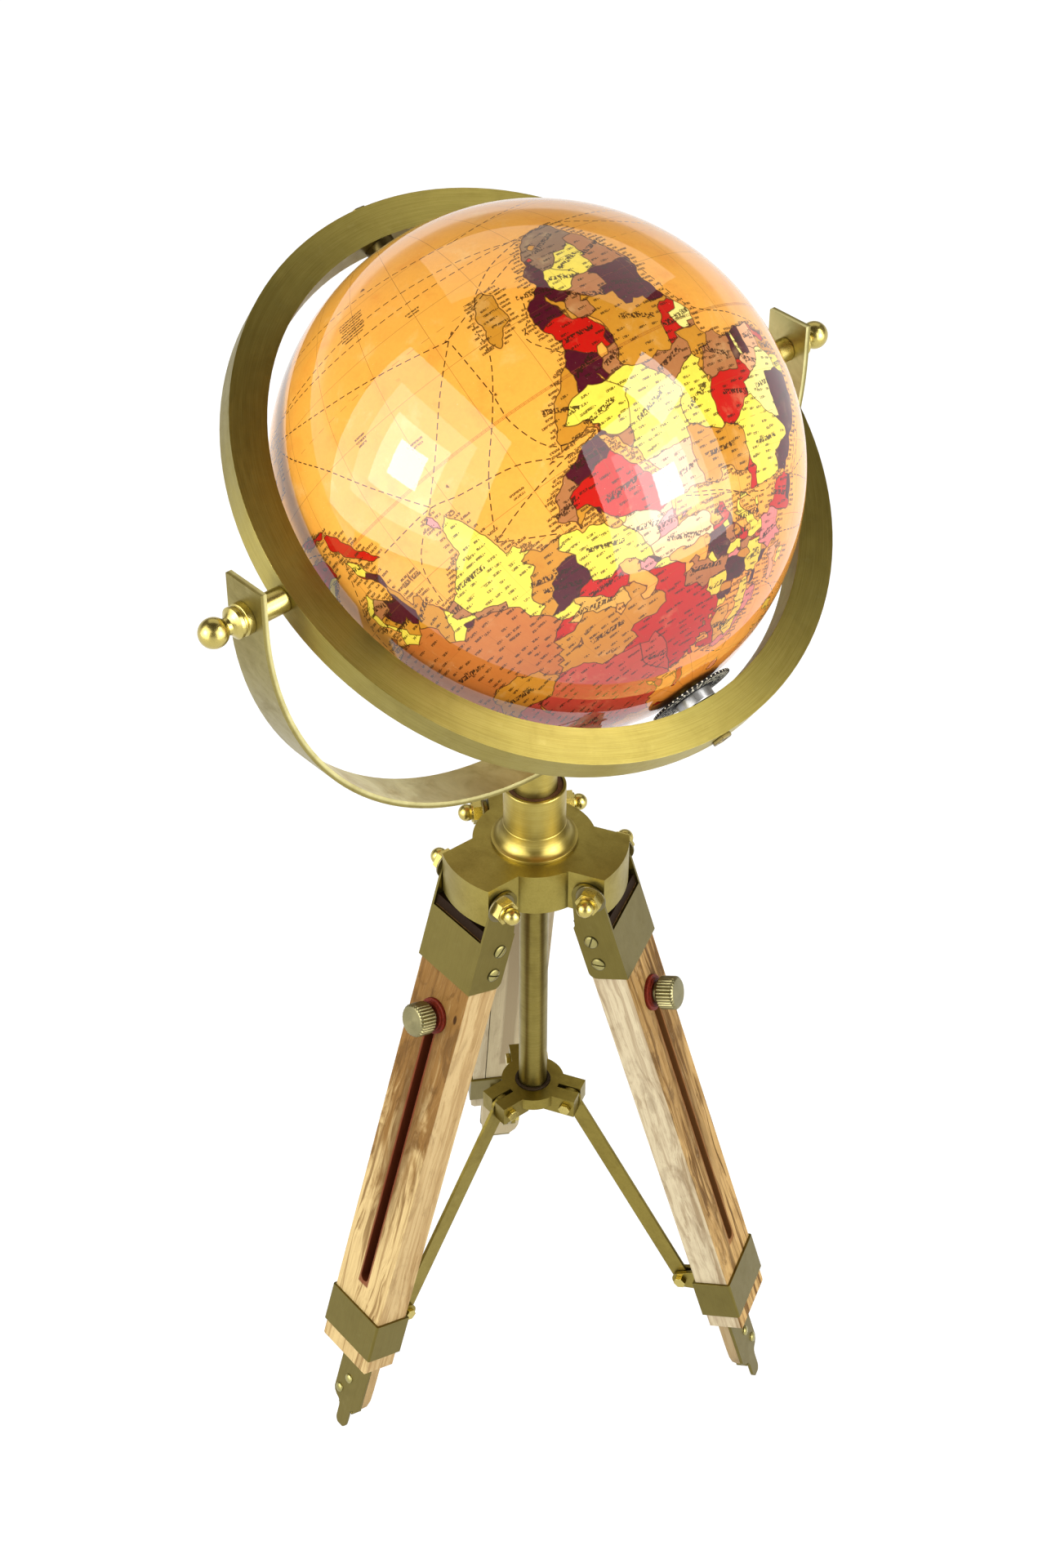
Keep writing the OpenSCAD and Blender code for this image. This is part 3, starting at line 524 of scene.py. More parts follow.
# ------------------------------------------------------------------ turned and knurled pieces
def turned(name, F, prof, seg, body, node, material, flute=None, caps=True):
    """A solid of revolution about local Z; prof holds (z, r, flute depth share)."""
    verts, faces = [], []
    for z, r, k in prof:
        for i in range(seg):
            a = 2 * math.pi * i / seg
            rr = r
            if flute and k:
                n_, dep = flute
                rr = r - dep * k * (1 - abs(math.sin(a * n_ / 2))) ** 1.3
            verts.append(F @ Vector((rr * math.cos(a), rr * math.sin(a), z)) * MM)
    m_ = len(prof)
    for j in range(m_ - 1):
        for i in range(seg):
            k = (i + 1) % seg
            faces.append((j * seg + i, j * seg + k, (j + 1) * seg + k, (j + 1) * seg + i))
    if caps:
        faces.append(tuple(reversed(range(seg))))
        faces.append(tuple((m_ - 1) * seg + i for i in range(seg)))
    me = bpy.data.meshes.new(name)
    me.from_pydata([tuple(v) for v in verts], [], faces)
    me.materials.append(material)
    ob = link(bpy.data.objects.new(name, me))
    finish_mesh(ob, 34)
    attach(ob, body)
    if node:
        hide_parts(node)
    return ob


for leg in ("left", "right", "back"):
    nd = "clamp_knob_" + leg
    turned("clamp_knob_%s_knurled" % leg, F_LEG[leg] @ T(0, 0, -65) @ RY(90),
           [(-11, 1.7, 0), (-10.7, 2.0, 0), (6.15, 2.0, 0), (6.16, 4.4, 0), (6.35, 4.6, 0), (7.55, 4.6, 0), (7.62, 4.9, 0), (7.9, 6.0, 0.2), (8.15, 6.55, 0.5),
            (8.75, 7.25, 1), (8.95, 7.3, 1), (15.0, 7.3, 1), (15.25, 7.22, 1), (15.75, 6.85, 0.7), (16.05, 6.45, 0.2), (16.2, 6.2, 0), (16.3, 5.9, 0), (16.3, 0.3, 0)],
           216, BODY_OF[nd], nd, mat(SLOT_OF[nd], nd, leg), flute=(27, 0.62))


def hour_dial():
    nd = "hour_dial"
    turned("hour_dial_disc", F_POLAR, [(102.6, 2.06, 0), (102.6, 16.6, 0), (102.7, 16.9, 0), (102.9, 17.0, 0), (103.3, 17.0, 0), (103.5, 16.9, 0), (103.58, 16.7, 0),
                                       (103.58, 16.35, 0), (103.50, 16.25, 0), (103.50, 8.6, 0), (103.6, 8.5, 0), (103.6, 2.06, 0)],
           144, BODY_OF[nd], nd, mat(SLOT_OF[nd], nd))
    verts, faces = [], []

    def quad(a, r0, r1, wd, z):
        b = len(verts)
        ca, sa = math.cos(a), math.sin(a)
        for r, t in ((r0, -wd / 2), (r1, -wd / 2), (r1, wd / 2), (r0, wd / 2)):
            verts.append(F_POLAR @ Vector((r * ca - t * sa, r * sa + t * ca, z)) * MM)
        faces.append((b, b + 1, b + 2, b + 3))
    for i in range(48):
        a = 2 * math.pi * i / 48
        quad(a, 12.6 if i % 2 == 0 else 14.2, 16.2, 0.62 if i % 2 == 0 else 0.46, 103.53)
    # the same marks run over the rim
    for i in range(48):
        a = 2 * math.pi * i / 48
        b = len(verts)
        wd = 0.62 if i % 2 == 0 else 0.46
        ca, sa = math.cos(a), math.sin(a)
        for z, t in ((102.85, -wd / 2), (103.35, -wd / 2), (103.35, wd / 2), (102.85, wd / 2)):
            verts.append(F_POLAR @ Vector((17.02 * ca - t * sa, 17.02 * sa + t * ca, z)) * MM)
        faces.append((b, b + 3, b + 2, b + 1))
    # hour numerals, 1 to 12 twice round
    for i in range(24):
        cu = bpy.data.curves.new("hour_%d" % i, "FONT")
        cu.body = str(i % 12 + 1)
        cu.size = 3.3
        cu.align_x = "CENTER"
        cu.align_y = "CENTER"
        cu.resolution_u = 3
        tmp = link(bpy.data.objects.new("hour_tmp", cu))
        dg = bpy.context.evaluated_depsgraph_get()
        me = bpy.data.meshes.new_from_object(tmp.evaluated_get(dg))
        a = 2 * math.pi * i / 24
        Mx = F_POLAR @ RZ(math.degrees(a)) @ T(10.55, 0, 103.53) @ RZ(-90)
        b = len(verts)
        verts += [Mx @ v.co * MM for v in me.vertices]
        faces += [tuple(b + k for k in f.vertices) for f in me.polygons]
        bpy.data.objects.remove(tmp)
        bpy.data.meshes.remove(me)
        bpy.data.curves.remove(cu)
    me = bpy.data.meshes.new("hour_marks")
    me.from_pydata([tuple(v) for v in verts], [], faces)
    n = Net("dial_white")
    p = n.local(F_POLAR)
    f = n.noise(p, 2.0, 3, 0.6)
    g = n.noise(p, 0.4, 2, 0.6, w=2.0)
    c = n.mix(n.step(f, 0.45, 0.7), hexc(236, 232, 214), hexc(176, 168, 140))
    me.materials.append(n.set(color=c, rough=n.lin(g, 0.3, 0.7, 0.4, 0.6), spec=0.4))
    ob = link(bpy.data.objects.new("hour_marks", me))
    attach(ob, BODY_OF[nd])


hour_dial()
# the dark bush that lines the spreader's hub
turned("spider_bush", F_ROOT, [(150.9, 6.45, 0), (150.9, 8.02, 0), (157.3, 8.02, 0), (157.9, 7.7, 0), (157.9, 6.7, 0), (157.6, 6.45, 0), (150.9, 6.45, 0)], 72, BODY_OF["spider"], None, fibre("hub_bush", F_ROOT, (0.020, 0.012, 0.006), (0.04, 0.024, 0.010), 0.5, 1.2, 0.15), caps=False)

# ------------------------------------------------------------------ the globe's map
# Coasts and borders in degrees (east, north), rounded to what an 8 inch globe shows.
LAND = {
"africa": "-5.9,35.8 -2.9,35.3 -1.2,35.7 1.5,36.5 5.1,36.8 8.6,37 9.8,37.3 11.1,37 10.6,35.8 10.1,34.3 11.1,33.2 13.2,32.9 15.3,32.3 15.7,31.4 18,30.5 19.8,30.5 20.1,32.2 21.6,32.9 23.2,32.2 25.2,31.6 28.9,30.9 30.9,31.5 32.3,31.2 32.5,29.9 33.6,27.8 34,26.6 35.5,24 37.2,21 37.4,18.7 38.6,18 39.7,15.1 41.2,14.6 43.1,12.7 42.6,11.5 44.3,10.4 47,11.1 51.2,11.9 50.8,9.4 49.1,6.5 48,4.5 46,2.3 43.7,.3 41.6,-1.7 40.2,-2.7 39.3,-4.7 38.8,-6.4 39.5,-7.5 39.4,-9 40.5,-10.6 40.6,-14.5 39.9,-16.4 37,-17.9 34.8,-19.9 35.4,-21.6 35.5,-23.8 32.9,-25.4 32.8,-27.5 31.3,-29.5 30,-31.3 27.9,-33 25.7,-34 22.3,-34.1 20,-34.8 18.4,-34.2 18.2,-32.6 17.3,-30.3 16.5,-28.5 15.2,-26.8 14.5,-22.7 12.6,-18.6 11.8,-16.6 12.3,-14.5 13.8,-11.2 12.9,-9 12.2,-6.1 10.9,-4 8.9,-1.3 9.4,.3 9.8,2.5 9.5,3.9 8.6,4.7 6.1,4.3 5,5.8 3.4,6.4 1.2,6.1 -1.8,4.8 -4,5.2 -7.5,4.4 -9.3,5.5 -11.3,6.8 -13.1,8.4 -13.4,9.4 -14.9,10.9 -16.8,12.5 -17.4,14.7 -16.4,16.2 -16.3,19.3 -17,20.9 -16.1,23 -14.5,26.2 -12.9,27.9 -10.2,29.4 -9.7,31.4 -8.5,33.3 -6.8,34.1",
"eurasia": "34.2,31.3 34.9,32.8 35.6,34 35.8,36 36.1,36.8 34,36.3 32.6,36.1 30.6,36.8 29.1,36.4 27.4,36.8 26.3,38.2 26.9,39.5 26.1,40.4 26.1,40.8 24,40.8 23.3,40.2 22.7,40.5 23.3,39.2 24,38.2 23.5,37.5 22.8,36.6 21.7,36.9 21.2,38.3 20,39.7 19.4,41.3 19.4,42 17.5,42.9 15.2,44.3 14.8,45.1 13.6,45 13.7,45.7 12.3,45.3 12.4,44.2 13.6,43.6 14.1,42.5 15.9,41.9 18.5,40.2 16.9,40.4 17.1,39 16.1,37.9 15.7,38.2 16.1,39 15.3,40.1 12.9,41.2 11,42.4 10.3,43.5 8.8,44.4 7.5,43.8 6,43.1 4,43.5 3,42.6 3.2,41.8 .8,41 -.3,39.5 .2,38.7 -.7,37.6 -2.1,36.7 -4.4,36.7 -5.6,36 -6.4,36.8 -8.9,37 -9.4,38.7 -8.7,41 -9.2,43 -8,43.7 -3.8,43.5 -1.6,43.4 -1.2,45.5 -2,47 -4.5,48.1 -4.7,48.5 -1.6,48.7 -1.9,49.7 .1,49.5 1.6,50.8 3.6,51.5 4.8,53 7,53.5 8.7,53.9 8.1,55.5 8.3,57 10.6,57.7 10.3,56.5 9.6,55.2 10.9,54.3 12.5,54.4 14.2,53.9 16.5,54.5 18.6,54.7 19.9,54.4 21.1,55.5 21.1,57 22.6,57.7 24.3,57.2 23.5,58.8 25,59.5 28,59.5 30,59.9 28.5,60.5 25,60.2 22,60.2 21.5,61.5 21.4,63 24.5,65 22.3,65.7 21,64.5 17.5,62.2 17.3,60.7 18.7,60 17,58.7 16.5,57 15.9,56 14.3,55.5 12.8,55.5 12,57.5 11.2,59 10,59.2 8,58.1 5.7,58.8 5.1,60.5 5,62 8.5,63.6 11,65 13,66.8 15.5,68.5 19.5,70 23.5,70.9 28,71.1 31,70.3 30.5,69.6 35,69.2 41,67.5 40.5,66.4 34.5,66.7 32.8,67.1 34.8,64.4 37.9,63.9 38,64.9 40.5,64.6 39.8,65.6 42.2,66.4 44.2,66 44,67.2 43.4,68.6 46.3,68.3 46.3,66.9 48.6,67.7 53.8,68.9 54.6,68.3 59.9,68.7 60.6,69.8 66.9,68.8 68.6,69 66.8,71 68.5,71.9 72.5,72.9 72.8,71 71.6,69 73.3,67.6 74,68.5 73.2,71.4 75.2,72.8 80.6,73.6 86.8,73.9 86,74.5 98,76.2 104.3,77.7 113.3,75.8 109.4,74.2 113.5,73.5 123.2,72.9 129,71 131.3,70.8 139.6,72.4 150.3,71.6 159.7,69.7 161,69.4 170,69.9 176,69.8 180,69 180,65 177.5,64.7 179.2,62.3 174.5,61.8 170.3,59.9 163.5,59.8 162,58.2 163.2,56.1 160.3,54.3 159.8,53.2 156.7,51 155.5,55.4 156.8,57.8 161.9,60.3 163.7,62.6 160.1,60.6 154.2,59.8 148.5,59.2 142.2,59 135.1,54.7 138.8,53.9 141.3,53.1 140.5,48.5 138.2,46.3 135.5,44 132,43.2 130.8,42.3 129.7,41 127.5,39.8 127.4,39.2 129.4,37 129.2,35.2 126.5,34.4 126.7,36.9 124.9,38.1 125.2,39.5 121.7,38.9 121,40.9 118,39.2 118.9,37.5 122.4,37.3 120.3,36.1 119.2,34.9 121.9,31.8 121,30.5 122,29.2 120.4,27.3 118.7,24.6 116.5,23 113.7,22.4 110.5,21.3 109.9,20.3 109.5,21.5 108,21.5 105.7,19 107,17 109,15 109.2,12 107.2,10.4 105.2,8.7 104.9,10.2 102.6,12 100.9,13.4 99.9,13.2 99.2,10.9 100.3,8.5 102.5,6.3 103.5,4.2 104.2,1.4 103.4,1.5 101.4,2.9 100.4,6 98.4,8.2 98.6,11.5 97.7,15 97.2,17 95.4,15.8 94.2,16.5 94.4,18.5 92.5,20.9 91.8,22.5 90.5,22.2 89,21.8 87,21.3 86.5,20.2 84,18.3 82.3,16.6 80.3,15.7 80.2,13.3 79.8,10.3 79,9.3 77.6,8.1 76.4,9.8 74.8,13 73.5,16 72.8,19.2 72.6,21.3 70.4,20.9 69,22.4 70,22.9 67.5,24 66.6,25.2 61.6,25.1 57.4,25.8 56.9,27.1 54.7,26.6 51.6,27.8 50.2,30 48.9,30.3 48,29.9 48.6,28.2 50.1,26.6 50.8,25.5 51.2,26.1 51.6,25.2 51.4,24.4 54,24.2 56.1,25.9 56.4,26.3 56.6,24.5 58.6,23.6 59.8,22.5 57.8,20.3 57.7,18.9 55.3,17.4 52.2,15.6 48.7,14 45.1,12.9 43.4,12.7 42.8,15.2 42.6,16.7 40.7,19.8 39.1,21.5 37.2,24.8 35.5,28.1 35,29.5 34.3,27.8 32.5,29.9 32.3,31.2",
"chukotka": "-180,69 -175,67.2 -172,66.9 -169.8,66.1 -173,64.3 -178.5,65.5 -180,65",
"madagascar": "49.3,-12 50.4,-15.6 49.6,-17 47.1,-25 45.2,-25.5 43.7,-23.5 44.4,-20 44,-17.5 44.4,-16.3 46.3,-15.7 48,-13.6",
"lanka": "79.9,9.7 81.2,8.5 81.8,7 80.8,6 79.9,6.9",
"britain": "-5.5,50.1 -3,50.7 1.2,51.2 1.6,52.7 .2,53.3 -1.5,55 -2,57.6 -3.3,58.6 -5,58.5 -5.8,56.5 -4.9,54.8 -3.1,54 -4.5,53.3 -4.3,52.2 -5.1,51.8 -3.2,51.3",
"ireland": "-6.2,52.3 -6,53.6 -5.6,54.6 -7.4,55.3 -8.6,54.3 -10,54.2 -9.5,53.2 -10.2,51.9 -8.5,51.7",
"iceland": "-22.5,63.9 -18.7,63.4 -14,64.6 -14.8,66.2 -18,66.1 -20.5,65.8 -22.4,66.4 -24.3,65.5 -22,64.5",
"svalbard": "15,76.8 21,78.2 25,79.8 20,80.3 11.5,79.5",
"novaya": "52,71.5 56,70.8 57.5,72 60,74.5 68,76.5 66,77 57,75.5 54,73.5",
"severnaya": "95,79 105,79 97,81", "siberia": "138,73.5 143,73.3 150,75 142,75.8 138,75",
"zealand": "11.1,55.6 12.5,55.9 12.2,55.1 11.3,55.2",
"sicily": "12.6,38 15.5,38.2 15.1,36.8 13,37.4", "sardinia": "8.3,40.9 9.6,40.9 9.5,39.2 8.5,39.1", "corsica": "8.7,42.4 9.4,42.9 9.4,41.5 8.8,41.6",
"crete": "23.6,35.5 26.2,35.2 24.8,34.9", "cyprus": "32.4,35 34.5,35.6 33.6,34.7",
"sakhalin": "142,46 143.3,49.3 143,53.5 142.3,54.3 141.9,52.5 142.1,49 141.9,46.6",
"honshu": "130,33 130.3,31.3 131.4,31.5 131.9,33.4 133,32.7 134.3,33.5 135.8,33.5 137,34.6 139,34.7 140.9,35.7 141,37.5 142,39.5 141.4,41.4 140.3,41 139.9,39.5 138.5,37.4 137,37.3 136,35.7 132.8,35.4 130.9,34.3",
"hokkaido": "140,41.6 141.2,41.9 143.3,42 145.5,43.3 141.9,45.5 141.3,43.4 140,42.7",
"taiwan": "120.1,23 121.6,25.2 121.9,24.9 120.8,22", "hainan": "108.7,19.3 110.5,20.1 111,19.6 109.6,18.2",
"sumatra": "95.3,5.6 97.5,5.2 100.4,2.5 103.5,0 103.8,-1 106,-3 105.8,-5.8 104.6,-5.9 102.2,-3.8 100.3,-.9 98.7,1.8 97,3.3",
"java": "105.2,-6.8 106.5,-6 108.5,-6.7 110.9,-6.4 112.6,-6.9 114.5,-7.8 114.3,-8.7 110.5,-8.1 106.5,-7.4",
"borneo": "109,1.5 109.6,2 111.4,2.5 113,3.2 115,5 116.7,6.9 119.2,5.2 117.9,4.2 117.8,1 117.5,.5 116.3,-1.8 116.2,-3.9 114.5,-4.1 111.8,-3.4 110.2,-2.9 109.1,-.5",
"sulawesi": "119.6,0 120.8,1.2 124.9,1.5 123.3,.4 120.3,.4 121,-1 123.2,-1 121.5,-2 122.8,-4.5 121.5,-4.6 120.9,-3 120.3,-5.5 119.5,-5.4 118.9,-2.8",
"halmahera": "127.5,.5 128.2,2 128.7,.5 128,-.8", "seram": "128,-3 130.5,-3.1 130.5,-3.7 128.3,-3.4",
"timor": "123.6,-10.3 127,-8.4 126,-9.1 124.5,-10.1", "flores": "115.9,-8.4 119,-8.3 122.8,-8.3 122,-8.8 119,-8.8 116,-8.9",
"newguinea": "131,-.8 134.1,-.9 135,-3.3 137.8,-1.6 141,-2.6 144.5,-3.8 147.8,-6 147.2,-6.9 150.8,-10.4 147.6,-9.9 144.7,-7.6 143,-9.2 141,-9.1 138,-8.3 138.5,-6.8 135.2,-4.5 132.8,-4 133.8,-2.5 131.2,-1.6",
"newbritain": "148.4,-5.6 152,-4.2 152,-5.2 149.8,-6.3",
"luzon": "120,16 120.7,18.5 122.2,18.4 121.6,16 124,12.7 121.9,13.6 120.6,13.9", "visayas": "122.9,10.5 124.5,12.3 125.3,11 123.5,9.4",
"mindanao": "122,7 123.5,8.6 125.5,9.7 126.5,7.3 125.5,5.7 124,7.2", "palawan": "117.2,8.4 119.4,11.2 119.6,10.6 117.7,8.5",
"australia": "114,-22 116.8,-20.6 119.5,-20 122.2,-18 123.6,-17.3 124.9,-15.2 126.8,-14 128.5,-14.9 130,-13.5 131,-12.2 132.8,-11.3 136.8,-12.3 135.6,-14.8 139.3,-17.5 141,-16.5 141.6,-13.5 142.5,-10.7 143.8,-14.4 145.4,-15.5 146.2,-18.9 149.5,-22.2 153.2,-25.5 153.6,-28.6 151.5,-33 150,-37.3 146.4,-39 143.5,-38.7 140.4,-38 139,-35.6 137.8,-35.2 137.8,-33 135.5,-34.8 134,-32.8 131.2,-31.5 126,-32.3 123.6,-33.9 120,-33.9 117.9,-35.1 115.1,-34.3 115.7,-31.9 114.2,-27.5 113.5,-25.5 113.6,-23.5",
"tasmania": "144.7,-40.8 148.3,-40.9 148,-43.2 146,-43.5",
"nznorth": "173,-34.4 175.5,-36.5 178.4,-37.7 177,-39.5 175.3,-41.6 173.8,-39.3 174.7,-37.5", "nzsouth": "172.7,-40.5 174.2,-41.7 172.7,-43.8 170.7,-45.9 168.4,-46.6 166.5,-45.8 168.8,-43.9 171.2,-42.3",
"newcaledonia": "164,-20.2 167,-22.3 165.5,-21.7",
"namerica": "-168,65.6 -162,66.2 -166.5,68.3 -156.6,71.3 -141,69.7 -134.5,69.5 -128,70.3 -124,69.5 -115,68.2 -108,68 -102,67.8 -96,67.5 -94,69.2 -94.3,71.9 -90,69 -87.5,67.3 -82,69.5 -81.5,67.5 -86.5,66 -90,64 -94.2,61 -94.5,58.8 -92.5,57 -86,55.7 -82.3,55.1 -82.1,52.9 -80,51.2 -79,51.5 -79.3,54.7 -76.6,56.6 -78.5,58.8 -77.4,62.5 -73.5,62.3 -69.5,61 -69.5,58.8 -65.5,58.5 -64.6,60.3 -61.5,56.5 -57,53.8 -56,51.6 -60,50.2 -66.5,50.2 -69.5,48 -65,49.1 -64.8,47 -61,45.5 -65.8,43.6 -67,44.8 -70.6,43 -70,41.7 -74,40.6 -75.5,38 -76,37 -75.6,35.2 -78,33.9 -81.2,31.6 -80.1,26.9 -80.5,25.2 -82,26.6 -82.8,28.8 -84.2,30 -88,30.3 -89.5,29.2 -91.5,29.5 -94.8,29.3 -97.2,27.6 -97.8,22.5 -96,19.2 -94.5,18.2 -91,18.7 -90.4,21 -87,21.5 -88,18.2 -88.8,15.9 -83.3,15 -83.7,11 -81.5,8.8 -79.6,9.6 -77.4,8.7 -78.5,8 -80.3,7.4 -83,8.3 -85.8,10.5 -87.5,13 -92.2,14.5 -94.5,16.2 -99.5,16.7 -105.5,20.3 -106.5,23.5 -109.5,26 -112.8,30 -114.8,31.8 -112.5,28 -109.5,23.2 -112.2,25 -115,28 -117.1,32.5 -120.6,34.6 -122.5,37.5 -124.2,40.4 -124.1,46.3 -124.7,48.4 -122.8,48.9 -128,51.5 -130.5,54.5 -134,58 -139.5,59.6 -146,60.8 -151.5,59.3 -152,61 -154,59 -158.5,56 -164.5,54.6 -160.5,56 -157.5,58.6 -162,58.7 -165.5,61.5 -161,64.4 -166,64.5",
"samerica": "-77.4,8.7 -75.5,10.7 -72,12 -71.5,10.8 -68.5,11.2 -64.8,10.1 -61.9,10.7 -60,8.5 -57,6 -52,4.5 -50,1.5 -50.5,-.5 -48,-.7 -44.5,-2.5 -40,-2.9 -37.2,-4.8 -35.2,-5.3 -34.8,-8 -37,-11.2 -39,-13.5 -39.2,-17.5 -40.9,-21.9 -43,-23 -46.5,-24.2 -48.6,-26.5 -50,-29.5 -52.5,-33 -54.5,-34.8 -58.2,-34.2 -57,-36.5 -57.7,-38.2 -62,-39 -65,-41 -63.8,-42.5 -67.3,-46 -65.8,-47.8 -68.9,-50.5 -68.3,-52.4 -65.2,-54.8 -69,-55.3 -74,-52 -75.5,-48 -73,-42 -73.5,-37 -71.5,-31 -70.3,-24 -70.3,-18.3 -76.2,-14 -79.8,-7.5 -81.2,-5.5 -80,-3 -80.8,-1 -78.8,1.5 -77.3,4 -77.4,7",
"greenland": "-73,78.2 -67,80.5 -55,82.3 -33,83.6 -20,82 -18,79 -19.5,75.5 -22,72 -24,70 -32.5,68.2 -38,65.8 -42.5,61 -44.8,60 -48,61 -51.5,64.5 -53.5,67.5 -51,69.7 -54.5,71.5 -58,75.5 -66,76.1 -70.5,76.8",
"baffin": "-62,66 -65,62.5 -66,61.9 -71.5,63 -78,64.5 -74,66 -72.5,68 -79,70 -89,71 -89.5,73.5 -81,73.7 -76,72.5 -68,70 -61.5,66.7",
"victoria": "-116,69 -105,68.8 -101,69.8 -105.5,72.9 -117.5,73", "banks": "-125,72 -120,71.5 -117.5,75 -124,74.5",
"ellesmere": "-78,76.5 -90,76.5 -92,81 -70,83.1 -62,82.5 -72,79", "devon": "-80,74.6 -92,74.7 -90,76.2 -80,75.6", "melville": "-105,74.8 -117,75 -112,76.8 -105,76", "somerset": "-90,72.5 -95,72 -95,74 -90,74",
"southampton": "-80.5,64 -86,64 -85,66 -82,65",
"cuba": "-84.9,21.9 -82.5,23.1 -79.5,22.9 -74.2,20.2 -77.7,19.9 -78.3,21", "hispaniola": "-74.4,18.4 -73,19.9 -69.9,19.7 -68.4,18.5 -71.4,17.7",
"jamaica": "-78.3,18.4 -76.3,18.1 -77.5,17.8", "puerto": "-67.2,18.4 -65.7,18.4 -66,18 -67.2,18", "newfoundland": "-59.3,47.7 -57,51 -55.5,51.5 -53,47 -55.8,46.9",
"hawaii": "-155.9,20.2 -154.9,19.5 -155.8,19", "kodiak": "-154.5,57.3 -152.3,58.4 -152.5,57.4", "vancouver": "-128.2,50.7 -125,50 -123.5,48.4 -126,49.2",
"falkland": "-61,-51.6 -58,-51.4 -59,-52.2", "socotra": "53.4,12.6 54.5,12.5 53.7,12.3", "reunion": "55.2,-20.9 55.8,-21.1 55.4,-21.4", "mauritius": "57.3,-20.1 57.8,-20.2 57.5,-20.5", "comoro": "43.2,-11.4 43.5,-11.9 43.2,-11.8",
"kerguelen": "69,-48.8 70.5,-49.2 69.5,-49.6", "canary": "-16.8,28.2 -15.5,28.1 -16.2,27.9", "canary2": "-14.4,28.4 -13.8,28.8 -14,28.2", "maldive": "73.3,4.4 73.7,4.1 73.4,3.8", "andaman": "92.7,13.5 93,12.5 92.6,11.7", "seychelle": "55.3,-4.5 55.7,-4.7 55.4,-4.9", "fiji": "177.3,-17.7 178.6,-17.6 178.2,-18.2",
"antarctica": "-180,-78 -160,-78 -150,-76.5 -135,-74.5 -120,-73.8 -100,-73 -80,-73 -70,-68.5 -62,-64 -57,-63.3 -60,-66 -62,-72 -60,-75 -40,-78 -28,-76.5 -15,-72.5 0,-69.5 20,-69.5 40,-69 55,-66 70,-69.5 80,-67.5 100,-66 120,-66.8 140,-66.7 160,-69.5 170,-72 165,-78 180,-78 180,-90 -180,-90",
}
SEA = {
"black": "29.1,41.3 31.4,41.3 33.3,42 35.1,42 36.3,41.3 38.5,41 41.2,41.4 41.5,42.5 39,44 37.5,44.8 38.2,46.5 39.2,47.2 37,46.9 35,46.2 35.2,45.4 36.4,45.3 35.3,44.9 33.7,44.4 32.6,45.4 33.5,46 31,46.6 29.7,45.2 28.6,43.8 27.9,42.8 28,41.9",
"marmara": "27,40.5 29,40.9 28.9,40.4 27.4,40.3",
"caspian": "47.5,42.9 49.5,40.5 49,38.5 49.9,37.4 51.5,36.7 54,36.9 53.8,39 53,40 54.5,41.5 52.8,41.8 52.5,42.5 50.3,44.4 51.2,45.2 53.1,45.3 53,46.8 51.2,47.1 49.2,46.4 47,45 46.7,44.5",
"aral": "58.3,44.5 58.6,45.8 61,46.7 61.5,45.2 60,44", "baikal": "103.7,51.5 107,52.4 109.5,54.5 109.9,55.8 108.5,54.6 105.5,52",
"balkhash": "73.9,45.4 74.8,46.7 79,46.6 76.5,46.4 74.5,45.8", "ladoga": "30.8,60.4 32.6,60.3 32.8,61.3 30.6,61.5", "onega": "34.7,61.2 35.8,61 35.8,62.3 34.7,62.2", "vanern": "12.6,58.7 13.8,58.7 13.9,59.3 13,59.2",
"nyanza": "31.8,-.9 32.3,.3 33.9,.4 34.1,-.8 33.3,-2.2 31.9,-2.5", "tanganyika": "29.2,-3.4 29.6,-5.5 31,-8.6 30.5,-8.3 29.3,-6.5 29,-4.5", "nyasa": "34,-9.6 34.6,-11.5 35,-14 34.4,-12.5 34,-10.8", "turkana": "35.9,4.5 36.4,3.8 36.7,2.5 36.3,2.8", "tana": "37.1,11.6 37.6,12.2 37.6,11.7",
"albert": "30.4,1.2 31.2,2.2 31.3,1.9 30.7,1.1", "chad": "13.3,13 14.4,14 14.5,13 13.8,12.6",
"superior": "-92,46.8 -88.5,48.7 -84.8,47.8 -84.8,46.6 -88,46.7", "michigan": "-87.8,42 -87.8,44.8 -85.6,45.9 -86.3,43.5 -86.5,42", "huron": "-82.4,43.2 -84,45.8 -80.8,45.8 -80,44.6 -81.7,44.9 -81.7,43.4", "erie": "-83.3,41.7 -80.5,42.7 -79,42.8 -81.5,41.6", "ontario": "-79.7,43.4 -76.3,44.1 -76.3,43.5 -79,43.2",
"winnipeg": "-96.5,50.5 -98.8,53.8 -97.8,53.6 -96,51", "slave": "-116,61 -111,62.8 -109.5,62.6 -114,61", "bear": "-124,65.2 -120,67 -117.5,66.3 -121.5,64.9", "titicaca": "-70,-15.4 -68.9,-16.4 -69.5,-16",
}
